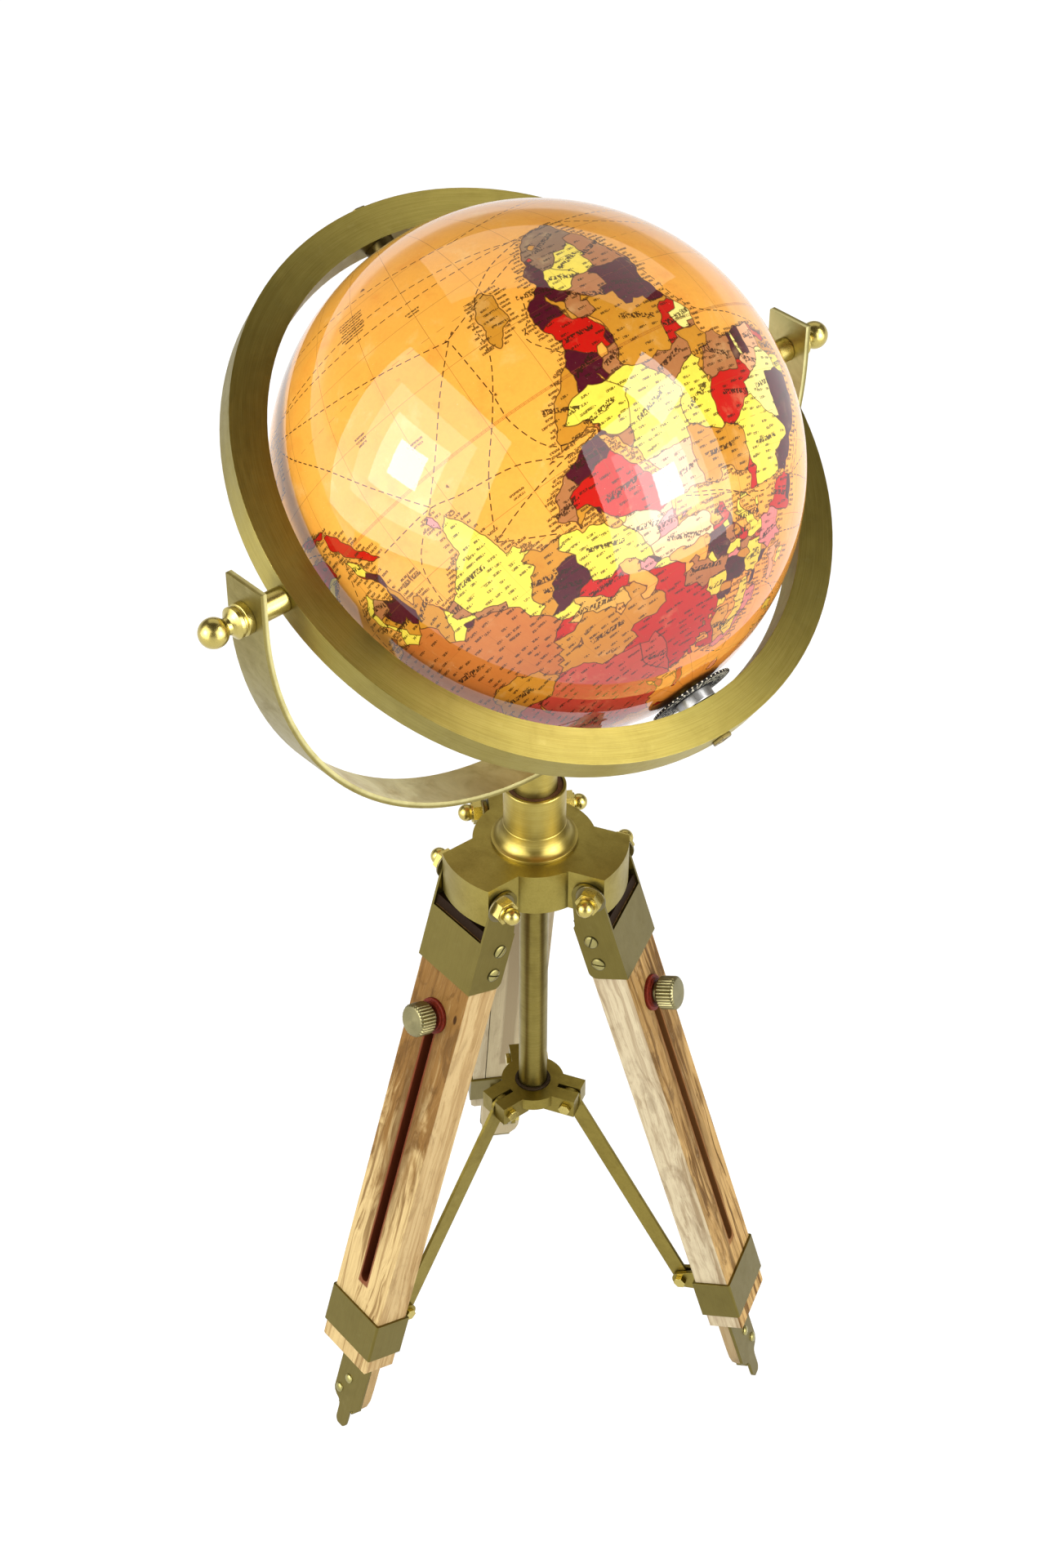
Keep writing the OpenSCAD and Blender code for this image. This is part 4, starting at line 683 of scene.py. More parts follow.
# colour letters: Y yellow, y pale yellow, R red, r dull red, M maroon, O ochre, o light ochre, T tan, S salmon, s pale salmon, P pink, G grey brown, B orange brown
LAND_INK = {"africa": "T", "eurasia": "R", "chukotka": "R", "madagascar": "O", "lanka": "P", "britain": "S", "ireland": "Y", "iceland": "Y", "svalbard": "S", "novaya": "R", "severnaya": "R", "siberia": "R",
 "zealand": "M", "sicily": "Y", "sardinia": "Y", "corsica": "O", "crete": "R", "cyprus": "P", "sakhalin": "R", "honshu": "Y", "hokkaido": "Y", "taiwan": "S", "hainan": "B", "sumatra": "R", "java": "R", "borneo": "R",
 "sulawesi": "R", "halmahera": "R", "seram": "R", "timor": "O", "flores": "R", "newguinea": "R", "newbritain": "Y", "luzon": "O", "visayas": "O", "mindanao": "O", "palawan": "O", "australia": "Y", "tasmania": "S",
 "nznorth": "M", "nzsouth": "M", "newcaledonia": "O", "namerica": "Y", "samerica": "O", "greenland": "s", "baffin": "Y", "victoria": "Y", "banks": "Y", "ellesmere": "Y", "devon": "Y", "melville": "Y", "somerset": "Y",
 "southampton": "Y", "cuba": "M", "hispaniola": "Y", "jamaica": "R", "puerto": "O", "newfoundland": "Y", "hawaii": "S", "kodiak": "S", "vancouver": "Y", "falkland": "P", "socotra": "M", "antarctica": "s"}
# regions painted one over the other on the mainlands
LANDS = """
Y -2.2,35.1 -1.5,32.5 -1.2,32.2 -3.5,31 -5,30 -8.7,28.8 -8.7,27.3 -4.8,25 1.2,21.1 3.2,19.1 4.2,19.2 5.8,19.5 12,23.5 9.9,24.6 9.5,26.4 9.9,28.1 9.5,30.3 9,32.1 7.5,33.3 8.3,35.2 8.6,38 -2.2,38
M -2.2,38 -2.2,35.1 -1.5,32.5 -3.5,31 -5,30 -8.7,28.8 -8.7,27.3 -8.7,26 -12,26 -12,23.4 -13,23 -13,21.3 -18.5,21.3 -18.5,28 -10,37 -5.5,35.95
R 8.6,38 8.3,35.2 7.5,33.3 9,32.1 9.5,30.3 10.3,31.9 11.5,33.2 12,38
O 9.5,30.3 9.9,28.1 9.5,26.4 9.9,24.6 12,23.5 14.2,22.6 15.9,23.4 24,19.5 24,20 25,20 25,34 11.5,34 11.5,33.2 10.3,31.9
S 25,33 25,22 31.3,22 37.5,22 36,26 34.9,29.5 34.2,31.3 34,33
Y 25,22 31.3,22 37.5,22 39,18 36.9,17 36.4,14.5 35,12 34.1,9 33,7.8 35.9,4.6 31,3.7 27.4,5 25,8 24.1,8.7 22.9,11 21.9,12.6 22.3,14 24,15.7 24,20 25,20
T 36.4,14.5 36.9,17 39,18.5 43.5,12.7 42.4,12.5 40.1,14.5
Y 36.4,14.5 40.1,14.5 42.4,12.5 41.8,11 42.9,10.5 43,9.3 47.9,8 45,5 42,4.1 39.5,3.5 35.9,4.6 33,7.8 34.1,9 35,12
B 42.4,12.5 43.6,12.8 43.6,11.2 42.9,10.6 41.8,11
O 43,11.6 52,12.5 52,4 41.5,-2.5 41,-1 41,2 42,4.1 45,5 47.9,8 43,9.3 42.9,10.5
M 35.9,4.6 39.5,3.5 42,4.1 41,2 41,-1 41.5,-2.5 39.6,-4.8 37.5,-3.5 33.9,-1 34,1 35,2 34.5,4
T 30.9,3.6 34.5,4 35,2 34,1 33.9,-1 29.6,-1.4 29.6,0 31.2,2.2
R 33.9,-1 37.5,-3.5 39.6,-4.8 41,-6 41,-10.5 40.4,-10.5 37.5,-11.6 34.6,-11.5 34,-9.5 32.8,-9.2 30.8,-8.3 29.4,-5.9 29.5,-4.4 30.8,-3.3 30.8,-2.3 30.5,-1.1
M 29,-1.4 30.5,-1.1 30.8,-2.3 30.8,-3.3 29.5,-4.4 29.1,-2.7
O 12,-5.9 13.2,-5.9 16.5,-5.9 17,-7.4 19.4,-7.9 20.3,-7 21.8,-7.3 22.2,-11.1 24.3,-11 25.3,-11.7 27,-11.9 29,-13.4 29.8,-12.2 28.5,-11.9 28.4,-9.2 30.8,-8.3 29.4,-5.9 29.5,-4.4 29,-2.7 29.6,-.5 29.9,.6 31.2,2.2 30.9,3.6 29.5,4.5 27.4,5 24.4,5.1 22.4,4.1 19.4,5.1 18.5,4.3 18.1,2.3 17.7,-.6 16.2,-2.2 15.9,-3.9 14.4,-4.9 13.1,-4.6 12.2,-4.9
R 18.5,4.3 18.1,2.3 17.7,-.6 16.2,-2.2 15.9,-3.9 14.4,-4.9 13.1,-4.6 12.2,-5 11,-4 12,-2.4 14.4,-2 14.4,-.5 13.9,1.4 13.2,2.2 16.1,2.2 16.2,3.5
y 8,1 9.8,1 11.3,1 11.3,2.2 13.2,2.2 13.9,1.4 14.4,-.5 14.4,-2 12,-2.4 11,-4 8,-1
O 8.5,4.5 9.8,2.3 16.1,2.2 14.5,5 15.3,7.5 13.8,9 15.2,10 14.2,12.8 14.6,11.5 13.2,9.6 11.8,7 10.1,7 8.7,5.2
T 16.1,2.2 16.2,3.5 18.5,4.3 19.4,5.1 22.4,4.1 24.4,5.1 27.4,5 25,8 24.1,8.7 22.9,11 21.6,10.5 19,9 15.3,7.5 14.5,5
Y 15.9,23.4 24,19.5 24,15.7 22.3,14 21.9,12.6 22.9,11 21.6,10.5 19,9 15.3,7.5 13.8,9 15.2,10 14.2,12.8 13.6,13.7 15.5,16.9 15.6,20.7 14.9,22.9
R 14.9,22.9 15.6,20.7 15.5,16.9 13.6,13.7 13,13.5 7,13.1 4.1,13.5 3.6,11.7 2.4,11.9 .2,15 4.2,16.5 4.2,19.2 5.8,19.5 12,23.5 14.2,22.6
T 3.6,11.7 4.1,13.5 7,13.1 13,13.5 14.2,12.8 14.6,11.5 13.2,9.6 11.8,7 10.1,7 8.7,5.2 8.5,4 4,4 2.7,6 2.7,7.8 3.6,9.8
M 1.6,6 2.7,6 2.7,7.8 3.6,9.8 3.6,11.7 2.4,11.9 1,11
y .1,11.1 1,11 1.6,9 1.6,6 1.2,5.5 .5,8
M -3.1,4.5 1.2,5.5 .5,8 .1,11.1 -2.8,11 -2.8,9.7 -2.5,8.2
S -7.5,4 -3.1,4.5 -2.5,8.2 -2.8,9.7 -5.5,10.4 -8,10.2 -8.3,7.5
S -5.5,10.4 -2.8,9.7 -2.8,11 .1,11.1 1,11 2.4,11.9 .2,15 -2,14.2 -4.4,12.5
y -12.1,14.8 -11.5,12.3 -8,10.2 -5.5,10.4 -4.4,12.5 -2,14.2 .2,15 4.2,16.5 4.2,19.2 3.2,19.1 1.2,21.1 -4.8,25 -6.5,24.9 -5.5,15.5 -9.5,15.5
M -4.8,25 -8.7,27.3 -8.7,26 -12,26 -12,23.4 -13,23 -13,21.3 -18,21.3 -18,16 -16.4,16.2 -12.1,14.8 -9.5,15.5 -5.5,15.5 -6.5,24.9
Y -18,16 -16.4,16.2 -12.1,14.8 -11.5,12.3 -18,12.3
O -18,12.3 -11.5,12.3 -8,10.2 -8.3,7.5 -11,9 -14,8.5
R -14,8.5 -11,9 -8.3,7.5 -7.5,4 -12,6
M 11,-5.8 12,-5.9 16.5,-5.9 17,-7.4 19.4,-7.9 20.3,-7 21.8,-7.3 22.2,-11.1 24.3,-11 24,-13 22,-13 22,-16.2 23.4,-17.6 20.8,-18 18.4,-17.4 11,-17.3
T 24.3,-11 25.3,-11.7 27,-11.9 29,-13.4 29.8,-12.2 28.5,-11.9 28.4,-9.2 30.8,-8.3 32.8,-9.2 33.3,-12.5 32.7,-13.8 30.2,-15 30.4,-15.8 28.9,-16 27,-17.9 25.3,-17.8 23.4,-17.6 22,-16.2 22,-13 24,-13
O 32.8,-9.2 34,-9.5 34.6,-11.5 34.5,-13.5 35.8,-15.8 35.2,-17.1 34.3,-14.5 32.7,-13.8 33.3,-12.5
M 34.6,-11.5 37.5,-11.6 40.4,-10.5 42,-10.5 42,-18 36,-27 32.1,-26.8 31.9,-24.5 31.3,-22.4 32.5,-20.6 32.9,-18 31.2,-16 30.2,-15 32.7,-13.8 34.3,-14.5 35.2,-17.1 35.8,-15.8 34.5,-13.5
Y 25.3,-17.8 27,-17.9 28.9,-16 30.4,-15.8 31.2,-16 32.9,-18 32.5,-20.6 31.3,-22.4 29.4,-22.2 27.7,-20.5 26,-19.3
Y 25.3,-17.8 26,-19.3 27.7,-20.5 29.4,-22.2 26.5,-24.2 25.6,-25.6 22.8,-25.3 20.7,-26.8 20,-24.8 20,-22 21,-22 21,-18.3 23.4,-17.6
T 11,-17.3 18.4,-17.4 20.8,-18 23.4,-17.6 21,-18.3 21,-22 20,-22 20,-24.8 20,-28.4 17,-28.8 14,-29
G 14,-29 17,-28.8 20,-28.4 20,-24.8 20.7,-26.8 22.8,-25.3 25.6,-25.6 26.5,-24.2 29.4,-22.2 31.3,-22.4 31.9,-24.5 32.1,-26.8 36,-27 34,-36 14,-36
O 27,-29.6 28.8,-28.6 29.4,-29.6 28,-30.6
R 30.8,-26.3 31.9,-25.9 32.1,-26.9 31,-27.3
B 73.6,39.5 76.5,40.4 80.2,42.2 80.2,45 82.5,45.2 83,47.2 85.5,47.1 85.5,48.4 87.8,49.1 91,46.9 91,45.2 95.4,44.2 96.4,42.7 101.8,42.5 105,41.6 110,42.6 111.9,43.8 112,45 116,46.5 119.7,46.7 115.5,47.9 117.8,49.5 120,51.6 121,53.3 125.6,53 127.5,49.8 130.8,47.7 134.8,48.3 133.1,45 130.8,42.4 128,42 124.3,40 125,38 124,30 122,24 112,17 108,20 108.1,21.6 105.3,23.3 102.2,22.4 101.2,21.2 99.2,22.1 97.6,23.9 98.7,27.5 97.3,28.2 95.5,29.3 92.1,27.8 88.9,27.3 88.1,27.9 84.2,28.8 81,30.2 78.8,31.5 78.5,34.5 76.8,35.6 74.8,37.4
O 87.8,49.1 92.3,50.8 98.3,52 102.2,51.3 107,49.9 113.5,49.6 116.7,49.9 115.5,47.9 119.7,46.7 116,46.5 112,45 111.9,43.8 110,42.6 105,41.6 101.8,42.5 96.4,42.7 95.4,44.2 91,45.2 91,46.9
R 124.3,40 128,42 130.8,42.4 131,41 128.6,38.4 126.5,37.9 124,38
Y 126.5,37.9 128.6,38.4 131,36 129,34 125,34
Y 68.2,23.6 71.1,24.4 70.8,25.3 69.5,26.9 71.9,28 74.5,31 75.3,32.3 74,34.7 76.8,35.6 78.5,34.5 78.8,31.5 81,30.2 80.1,28.8 84,27.4 88.1,26.4 88.1,27.9 88.9,27.3 92,26.8 92.1,27.8 95.5,29.3 97.3,28.2 95.2,26.6 94.2,24.1 93.3,23 92.6,21.9 92,21 93,8 76,6 70,14 67,22
T 80.1,28.8 81,30.2 84.2,28.8 88.1,27.9 88.1,26.4 84,27.4
M 88.9,27.3 90.5,28.2 92.1,27.8 92,26.8
T 88.1,26.4 89.8,26 92,25.1 92.3,24 91.4,23.9 92.6,21.9 92.2,20.7 88.9,21.2 88.7,24.3
O 92.6,21.9 93.3,23 94.2,24.1 95.2,26.6 97.3,28.2 98.7,27.5 97.6,23.9 99.2,22.1 101.2,21.2 100.1,20.4 99,19.7 97.8,18 98.6,15.3 99.6,12 98.5,9.9 96,10 92,17
M 99,19.7 100.1,20.4 101.2,19.5 101.1,17.6 103.5,18.3 104.8,16.5 105.5,14.4 102.9,14.2 102.6,12 101,12 100,9 102,6.3 101.1,5.7 99.8,6.5 98,8 98.5,9.9 99.6,12 98.6,15.3 97.8,18
O 100.1,20.4 101.2,21.2 102.2,22.4 104.5,20.5 104,19.5 105.5,18 107.5,15.5 107.4,14.5 105.5,14.4 104.8,16.5 103.5,18.3 101.1,17.6 101.2,19.5
Y 102.2,22.4 105.3,23.3 108.1,21.6 110,17 111,12 107,8 104,8 104.5,10.5 106.2,11.6 107.5,12.5 107.4,14.5 107.5,15.5 105.5,18 104,19.5 104.5,20.5
T 102.6,12 102.9,14.2 105.5,14.4 107.4,14.5 107.5,12.5 106.2,11.6 104.5,10.5 103,10
Y 99.5,6.6 101.1,5.7 102,6.3 104.8,3 104.8,1.5 103.5,1 100,5
O 61.6,25.2 63.3,27.2 60.9,29.9 62.5,29.4 66.3,29.9 66.4,30.9 69.3,31.9 69.5,33.1 71.2,34 71.5,36.3 74.8,37.4 76.8,35.6 74,34.7 75.3,32.3 74.5,31 71.9,28 69.5,26.9 70.8,25.3 71.1,24.4 68.2,23.6 66,24 61,24
M 61.2,35.6 64.5,36.3 66.5,37.5 67.8,37.2 71.5,37.9 74.8,37.4 71.5,36.3 71.2,34 69.5,33.1 69.3,31.9 66.4,30.9 66.3,29.9 62.5,29.4 60.9,29.9 61.7,31.4 60.6,33.7
O 46.5,48.4 47,47.5 49.2,46.3 51,44 52.5,41.5 54.5,42 56,41.3 56,45 58.5,45.6 61.1,44.3 62,43.5 65.8,42.9 66.1,41.9 68.2,41 70.9,42.2 73.5,43 80.2,42.2 80.2,45 82.5,45.2 83,47.2 85.5,47.1 85.5,48.4 87.8,49.1 83.4,51 80.1,50.8 76.8,54.3 71,54.2 70.9,55.3 68,54.9 61,53.9 61.6,51.5 59.5,50.6 55,50.8 51.5,51.5 47.3,50.3
o 56,45 58.5,45.6 61.1,44.3 62,43.5 65.8,42.9 66.1,41.9 68.2,41 70.9,42.2 73,40.9 70.5,40.3 67.5,39.5 68.3,38.2 67.8,37.2 66.5,37.5 62,40 60,42.2 57,41.3 56,41.3
R 52.5,41.5 54.5,42 56,41.3 57,41.3 60,42.2 62,40 66.5,37.5 64.5,36.3 61.2,35.6 61.2,36.6 57.2,38.2 53.9,37.3 52,37
Y 67.5,39.5 70.5,40.3 73.6,39.5 74.8,37.4 71.5,37.9 67.8,37.2 68.3,38.2
R 70.9,42.2 73.5,43 80.2,42.2 76.5,40.4 73.6,39.5 70.5,40.3 73,40.9
Y 44.8,39.7 46.5,38.9 48,39.5 48.9,38.4 54,37.1 57.2,38.2 61.2,36.6 61.2,35.6 60.6,33.7 61.7,31.4 60.9,29.9 63.3,27.2 61.6,25.2 61,24 57,25 54,26 50,28.5 48.6,29.9 47.7,31.2 46,33.1 45.5,35.9 44.8,37.2
R 39.2,32 44.7,29.2 46.5,29.1 48.4,28.5 51,28 50.9,24.8 51.6,24.3 52.6,22.9 55.2,22.7 55,20 52,19 49,18.6 46.5,17.2 44.2,17.4 42.8,16.4 40,17 36,25 34,28 35,29.4 36.1,29.2 37.5,30 37,31.5
M 41.5,16.4 42.8,16.4 44.2,17.4 46.5,17.2 49,18.6 52,19 53.1,16.7 53,13 43,11.8 41.5,13
T 52,19 55,20 55.2,22.7 55.8,24.2 56.4,24.9 56.2,26.8 61,23 58,17 53.1,15.5 53.1,16.7
O 51.5,24.6 51.6,24.3 52.6,22.9 55.2,22.7 55.8,24.2 56.4,24.9 56.3,25.9 54,25.5
M 50.7,24.7 51.6,24.3 52,26.5 50.6,26.5
Y 46.5,29.1 48.4,28.5 48.6,29.9 47.7,30.1
s 39.2,32 38.8,33.4 41,34.4 41.3,36.5 42.4,37.1 44.8,37.2 45.5,35.9 46,33.1 47.7,31.2 48.6,29.9 47.7,30.1 46.5,29.1 44.7,29.2
S 35,29.4 35.5,31.5 35.7,32.7 38.8,33.4 39.2,32 37,31.5 37.5,30 36.1,29.2
Y 34.2,31.3 35,29.4 35.5,31.5 35.7,33.3 34,33
P 35.7,32.7 36.3,34.5 35.4,35.9 36.7,36.8 38,36.8 42.4,37.1 41.3,36.5 41,34.4 38.8,33.4
s 26,39 26.3,41.7 28,42 31,43 38,42.5 41.5,41.5 43.5,41.1 44.8,39.7 44.8,37.2 42.4,37.1 38,36.8 36.7,36.8 35.4,35.9 30,35.5 26,36
Y 40,43.4 44.5,42.7 46.5,41.8 45,41.2 43.5,41.1 41.5,41.5
P 46.5,41.8 48.5,41.9 50.8,40.3 48.9,38.4 48,39.5 46.5,38.9 45.5,40 45,41.2
M 43.5,41.1 45,41.2 45.5,40 46.5,38.9 44.8,39.7
o 20.5,69.1 22,68.5 25,68.6 29,69.6 29.5,66 31.5,63 28,60.5 25,59.7 20,59.9 20.5,64 24.1,65.8 23.8,67
P 3,58 10.7,58.9 11.5,59 12,61 12.2,63 14,64.5 16,68 20.5,69.1 22,68.5 25,68.6 29,69.6 31,69.5 32,72 4,72
Y 11.5,59 12,61 12.2,63 14,64.5 16,68 20.5,69.1 23.8,67 24.1,65.8 20,63 19.5,60 19,57 15,54.8 12.8,55 11,58
M 7.5,54.8 9.5,54.8 11,54.8 12.7,55.5 11,58.4 7.5,57.5
Y 23,57.9 25.5,58 27.4,57.6 28.3,59.6 23,59.8
M 20,56.3 24,56.3 25.8,56.2 28.2,56.1 27.4,57.6 25.5,58 23,57.9 20,58
O 20,55.3 22.8,54.4 25.8,54.3 26.6,55.7 25.8,56.2 24,56.3 20,56.3
r 19,54.5 22.8,54.4 20,55.3
M 14.2,54.5 19.5,54.6 22.8,54.4 23.5,53.9 23.6,51.5 24,50.5 22.6,49.1 18.8,49.5 15,51 14.2,53
Y 6,51 7,52.5 6.8,54.5 9.5,54.8 14.2,54.5 14.2,53 15,51 12.2,50.3 13.8,48.8 13,47.6 7.6,47.6 8.2,49 6.2,49.5
M 3,51.3 4.5,53.5 6.8,53.8 7,52.5 6,51
O 2.3,51.2 3,51.3 6,51 6.2,49.5 5,49.7
P 2.3,51.2 5,49.7 6.2,49.5 8.2,49 7.6,47.6 6.8,46 7.5,43.8 3.2,42.4 -1.8,43.4 -6,48 -1,51.5
R -9.5,44 -1.8,43.4 3.2,42.4 4,40 -2,36 -6,35.95 -7.5,37 -7,38.5 -6.8,41.5 -8.7,42
M -10,42 -8.7,42 -6.8,41.5 -7,38.5 -7.5,37 -9.5,36.5
Y 7.5,43.8 6.8,46 8.5,46.2 10.5,46.8 12.2,47 13.6,46.5 13.8,45.5 13,44.5 17,42 19,40 17,37 15.5,36.5 12,37.5 12,41 8.5,43.8
r 6.8,46 7.6,47.6 9.6,47.5 10.5,46.8 8.5,46.2
T 9.6,47.5 13,47.6 13.8,48.8 17,48.8 16.8,47 13.6,46.5 12.2,47 10.5,46.8
O 12.2,50.3 15,51 18.8,49.5 17,48.8 13.8,48.8
P 17,48.8 18.8,49.5 22.6,49.1 22.2,48.4 18.5,47.8
Y 16.8,47 17,48.2 18.5,47.8 22.2,48.4 22.9,47.9 21,46.1 18.5,45.8 16.5,46.4
R 13.6,46.5 16.8,47 16.5,46.4 18.5,45.8 19,45 16,45.2 17.5,43 14,44.5 13.3,45.6
O 16,45.2 19,45 19.3,43.5 18.5,42.4 17.5,43
T 19,45 18.5,45.8 20.2,46.2 21,46.1 22.5,44.5 22.4,42.3 20.5,42.2 19,42.4 19.3,43.5
M 19,42.4 20.5,42.2 21,40.8 20,39.6 19,41
Y 20.5,42.2 22.4,42.3 23,41.3 21,40.8
R 20,39.6 21,40.8 23,41.3 26.3,41.7 26.2,40.4 25,35 20,36
M 22.4,42.3 22.5,44.2 28.6,43.7 28,42 26.3,41.7 23,41.3
M 21,46.1 22.9,47.9 26.6,48.2 28.2,45.5 29.7,45.2 28.6,43.7 22.5,44.2 22.5,44.5
Y 26.6,48.2 28,48.4 30,46.5 28.2,45.5
T 22.6,49.1 24,50.5 23.6,51.5 30.6,51.3 32,52.3 34,52.3 35.5,50.4 40,49.6 38.2,47.2 36.6,45.3 33,44 30,45.5 28.2,45.5 30,46.5 28,48.4 26.6,48.2 24.9,47.7 22.2,48.4
Y 23.6,51.5 30.6,51.3 31.8,53.1 32.7,53.4 31,54.7 30.9,55.6 28.2,56.1 26.6,55.7 25.8,54.3 23.5,53.9
r 60,68.4 66,62 62,56 76.8,54.3 80.1,50.8 87.8,49.1 98.3,52 107,49.9 113.5,49.6 121,53.3 127.5,49.8 134.8,48.3 150,60 180,62 180,77 60,80
r 55,55.5 59,57 62,56 66,62 60,69 57,66 54,61
S -170,66 -168,72 -141,70 -141,60.5 -137.5,59 -130,55.5 -140,52 -170,50
T -124.5,48.7 -122.8,49 -95.2,49 -92,48 -88.5,48.2 -84.8,46.5 -82.5,45.4 -82.5,42 -79,42.8 -79,43.4 -76.5,44.2 -74.7,45 -71.4,45.1 -70,46.5 -68,47.3 -67,44.8 -66,40 -76,25 -97.2,25.9 -99.5,27.5 -101.5,29.8 -104.5,29.6 -106.5,31.8 -111,31.3 -114.8,32.5 -117.2,32.5 -127,40
O -117.2,32.5 -114.8,32.5 -111,31.3 -106.5,31.8 -104.5,29.6 -101.5,29.8 -99.5,27.5 -97.2,25.9 -90,24 -86,22 -88.2,18.5 -89.2,17.8 -91,17.5 -92.2,14.5 -100,12 -118,25
R -92.2,14.5 -91,17.5 -89.2,17.8 -88,15.7 -89.5,14.3 -90.2,13
Y -90.2,13 -89.5,14.3 -88,15.7 -83,15.5 -83,14.8 -87.5,12.7
M -87.5,12.7 -83,14.8 -83,11 -86,10.8
S -86,10.8 -83,11 -82.5,9.5 -82.9,8
Y -82.9,8 -82.5,9.5 -77.3,9 -77.8,7
R -77.4,8.9 -75,12 -71.2,12.5 -73,9 -70,7 -67.5,6.2 -67,1.2 -70,-.2 -70,-4.2 -73,-2.3 -75.3,0 -79,1.5 -78,7
Y -71.2,12.5 -73,9 -70,7 -67.5,6.2 -67,1.2 -64,1.5 -64,4 -60.7,5.2 -59.8,8.4 -62,12
O -59.8,8.4 -60.7,5.2 -59.9,2.5 -56.5,2 -57.3,5 -57,6.5
P -57,6.5 -57.3,5 -56.5,2 -52.5,2.3 -51,4.5
M -79,1.5 -75.3,0 -75.5,-1.8 -78.5,-3.5 -79.5,-4.8 -80.5,-3.5 -82,-2
S -80.5,-3.5 -79.5,-4.8 -78.5,-3.5 -75.5,-1.8 -75.3,0 -73,-2.3 -70,-4.2 -73.2,-7 -70.5,-9.5 -69,-12.5 -69.5,-17.5 -72,-19 -84,-8
Y -69.5,-17.5 -69,-12.5 -65.3,-10 -60,-13.8 -58,-17 -58,-20 -62.3,-20.5 -62.7,-22.2 -67.8,-22.8
r -69.5,-17.5 -67.8,-22.8 -68.5,-27 -70,-33 -71.5,-40 -72,-50 -68.4,-52.3 -68.6,-56.5 -78,-52 -74,-20
M -67.8,-22.8 -62.7,-22.2 -58,-25 -58,-27.4 -54.5,-25.6 -57.6,-30.2 -58.3,-34 -54,-37 -60,-60 -68.6,-56.5 -68.4,-52.3 -72,-50 -71.5,-40 -70,-33 -68.5,-27
T -62.3,-20.5 -58,-20 -57.8,-22 -54.5,-24 -54.5,-25.6 -58,-27.4 -58,-25 -62.7,-22.2
S -57.6,-30.2 -53.5,-33.7 -53,-36 -58.3,-34
R -65.5,.8 -64,1.5 -64,4 -60.7,5.2 -59.9,2.5 -56.5,2 -52.5,2.3 -51,4.5 -44,0 -33,-6 -36,-14 -47,-28 -53.4,-33.7 -57.6,-30.2 -54.5,-25.6 -54.5,-24 -57.8,-22 -58,-20 -58,-17 -60,-13.8 -65.3,-10 -69,-12.5 -70.5,-9.5 -73.2,-7 -70,-4.2 -70,-.2
O 113,-10 129,-10 129,-36 112,-38
S 138,-26 141,-26 141,-29 149,-29 154,-28 156,-20 143,-9 138,-14
P 141,-29 149,-29 154,-28 152,-36 149.9,-37.5 144,-35.5 141,-34
M 141,-34 144,-35.5 149.9,-37.5 148,-40 141,-39
Y 141,0 141,-12 152,-12 152,0
Y 109,2.2 111,1 114,1.5 115.5,3.5 117.8,4.2 120,5 116,8
M 114,5.3 115.2,5.3 115,4.2
"""


R_GLOBE = 101.6
INKS = {  # print colours (linear)
    "Y": hexc(247, 216, 78), "y": hexc(252, 228, 132), "R": hexc(196, 18, 10), "r": hexc(200, 72, 58), "M": hexc(78, 8, 30), "O": hexc(205, 136, 40),
    "o": hexc(224, 166, 72), "T": hexc(178, 112, 66), "S": hexc(240, 168, 120), "s": hexc(250, 198, 142), "P": hexc(222, 128, 128), "G": hexc(140, 100, 72), "B": hexc(196, 110, 48)}
INK_SEA = hexc(249, 170, 68)
INK_LINE = hexc(74, 36, 12)


def deg(s):
    return [tuple(float(v) for v in a.split(",")) for a in s.split()]


def wob(a, b, k):
    """A repeatable number from -1 to 1 for a stretch of coast, the same from either end."""
    if a > b:
        a, b = b, a
    v = math.sin(a[0] * 12.9898 + a[1] * 78.233 + b[0] * 37.719 + b[1] * 11.135 + k * 4.7) * 43758.5453
    return (v - math.floor(v)) * 2 - 1


def jag(poly, amp, stop=0.85):
    """Breaks each straight stretch up as a hand drawn coast is."""
    out = []
    n = len(poly)
    for i in range(n):
        seg = [poly[i], poly[(i + 1) % n]]
        if abs(seg[0][0]) >= 180 and abs(seg[1][0]) >= 180 or seg[0][1] <= -89 or seg[1][1] <= -89:
            out += seg[:-1]
            continue
        k = 0
        while True:
            new = [seg[0]]
            more = False
            for a, b in zip(seg, seg[1:]):
                cl = max(0.2, math.cos(math.radians((a[1] + b[1]) / 2)))
                dx, dy = (b[0] - a[0]) * cl, b[1] - a[1]
                L = math.hypot(dx, dy)
                if L > stop:
                    s = 1 if a <= b else -1
                    w = wob(a, b, k) * amp * L * s
                    m = ((a[0] + b[0]) / 2 - dy / L * w / cl, (a[1] + b[1]) / 2 + dx / L * w)
                    new.append((round(max(-179.9, min(179.9, m[0])), 4), round(m[1], 4)))
                    more = True
                new.append(b)
            seg = new
            k += 1
            if not more or k > 5:
                break
        out += seg[:-1]
    return out


def inside(P, poly):
    """Which of the points P lie in the polygon."""
    q = np.array(poly, float)
    res = np.zeros(len(P), bool)
    lo_, hi_ = q.min(0), q.max(0)
    idx = np.nonzero((P[:, 0] >= lo_[0]) & (P[:, 0] <= hi_[0]) & (P[:, 1] >= lo_[1]) & (P[:, 1] <= hi_[1]))[0]
    if not len(idx):
        return res
    X, Y = P[idx, 0], P[idx, 1]
    c = np.zeros(len(idx), bool)
    x2, y2 = q[-1]
    for x1, y1 in q:
        if y1 != y2:
            c ^= ((y1 > Y) != (y2 > Y)) & (X < (x2 - x1) * (Y - y1) / (y2 - y1) + x1)
        x2, y2 = x1, y1
    res[idx] = c
    return res


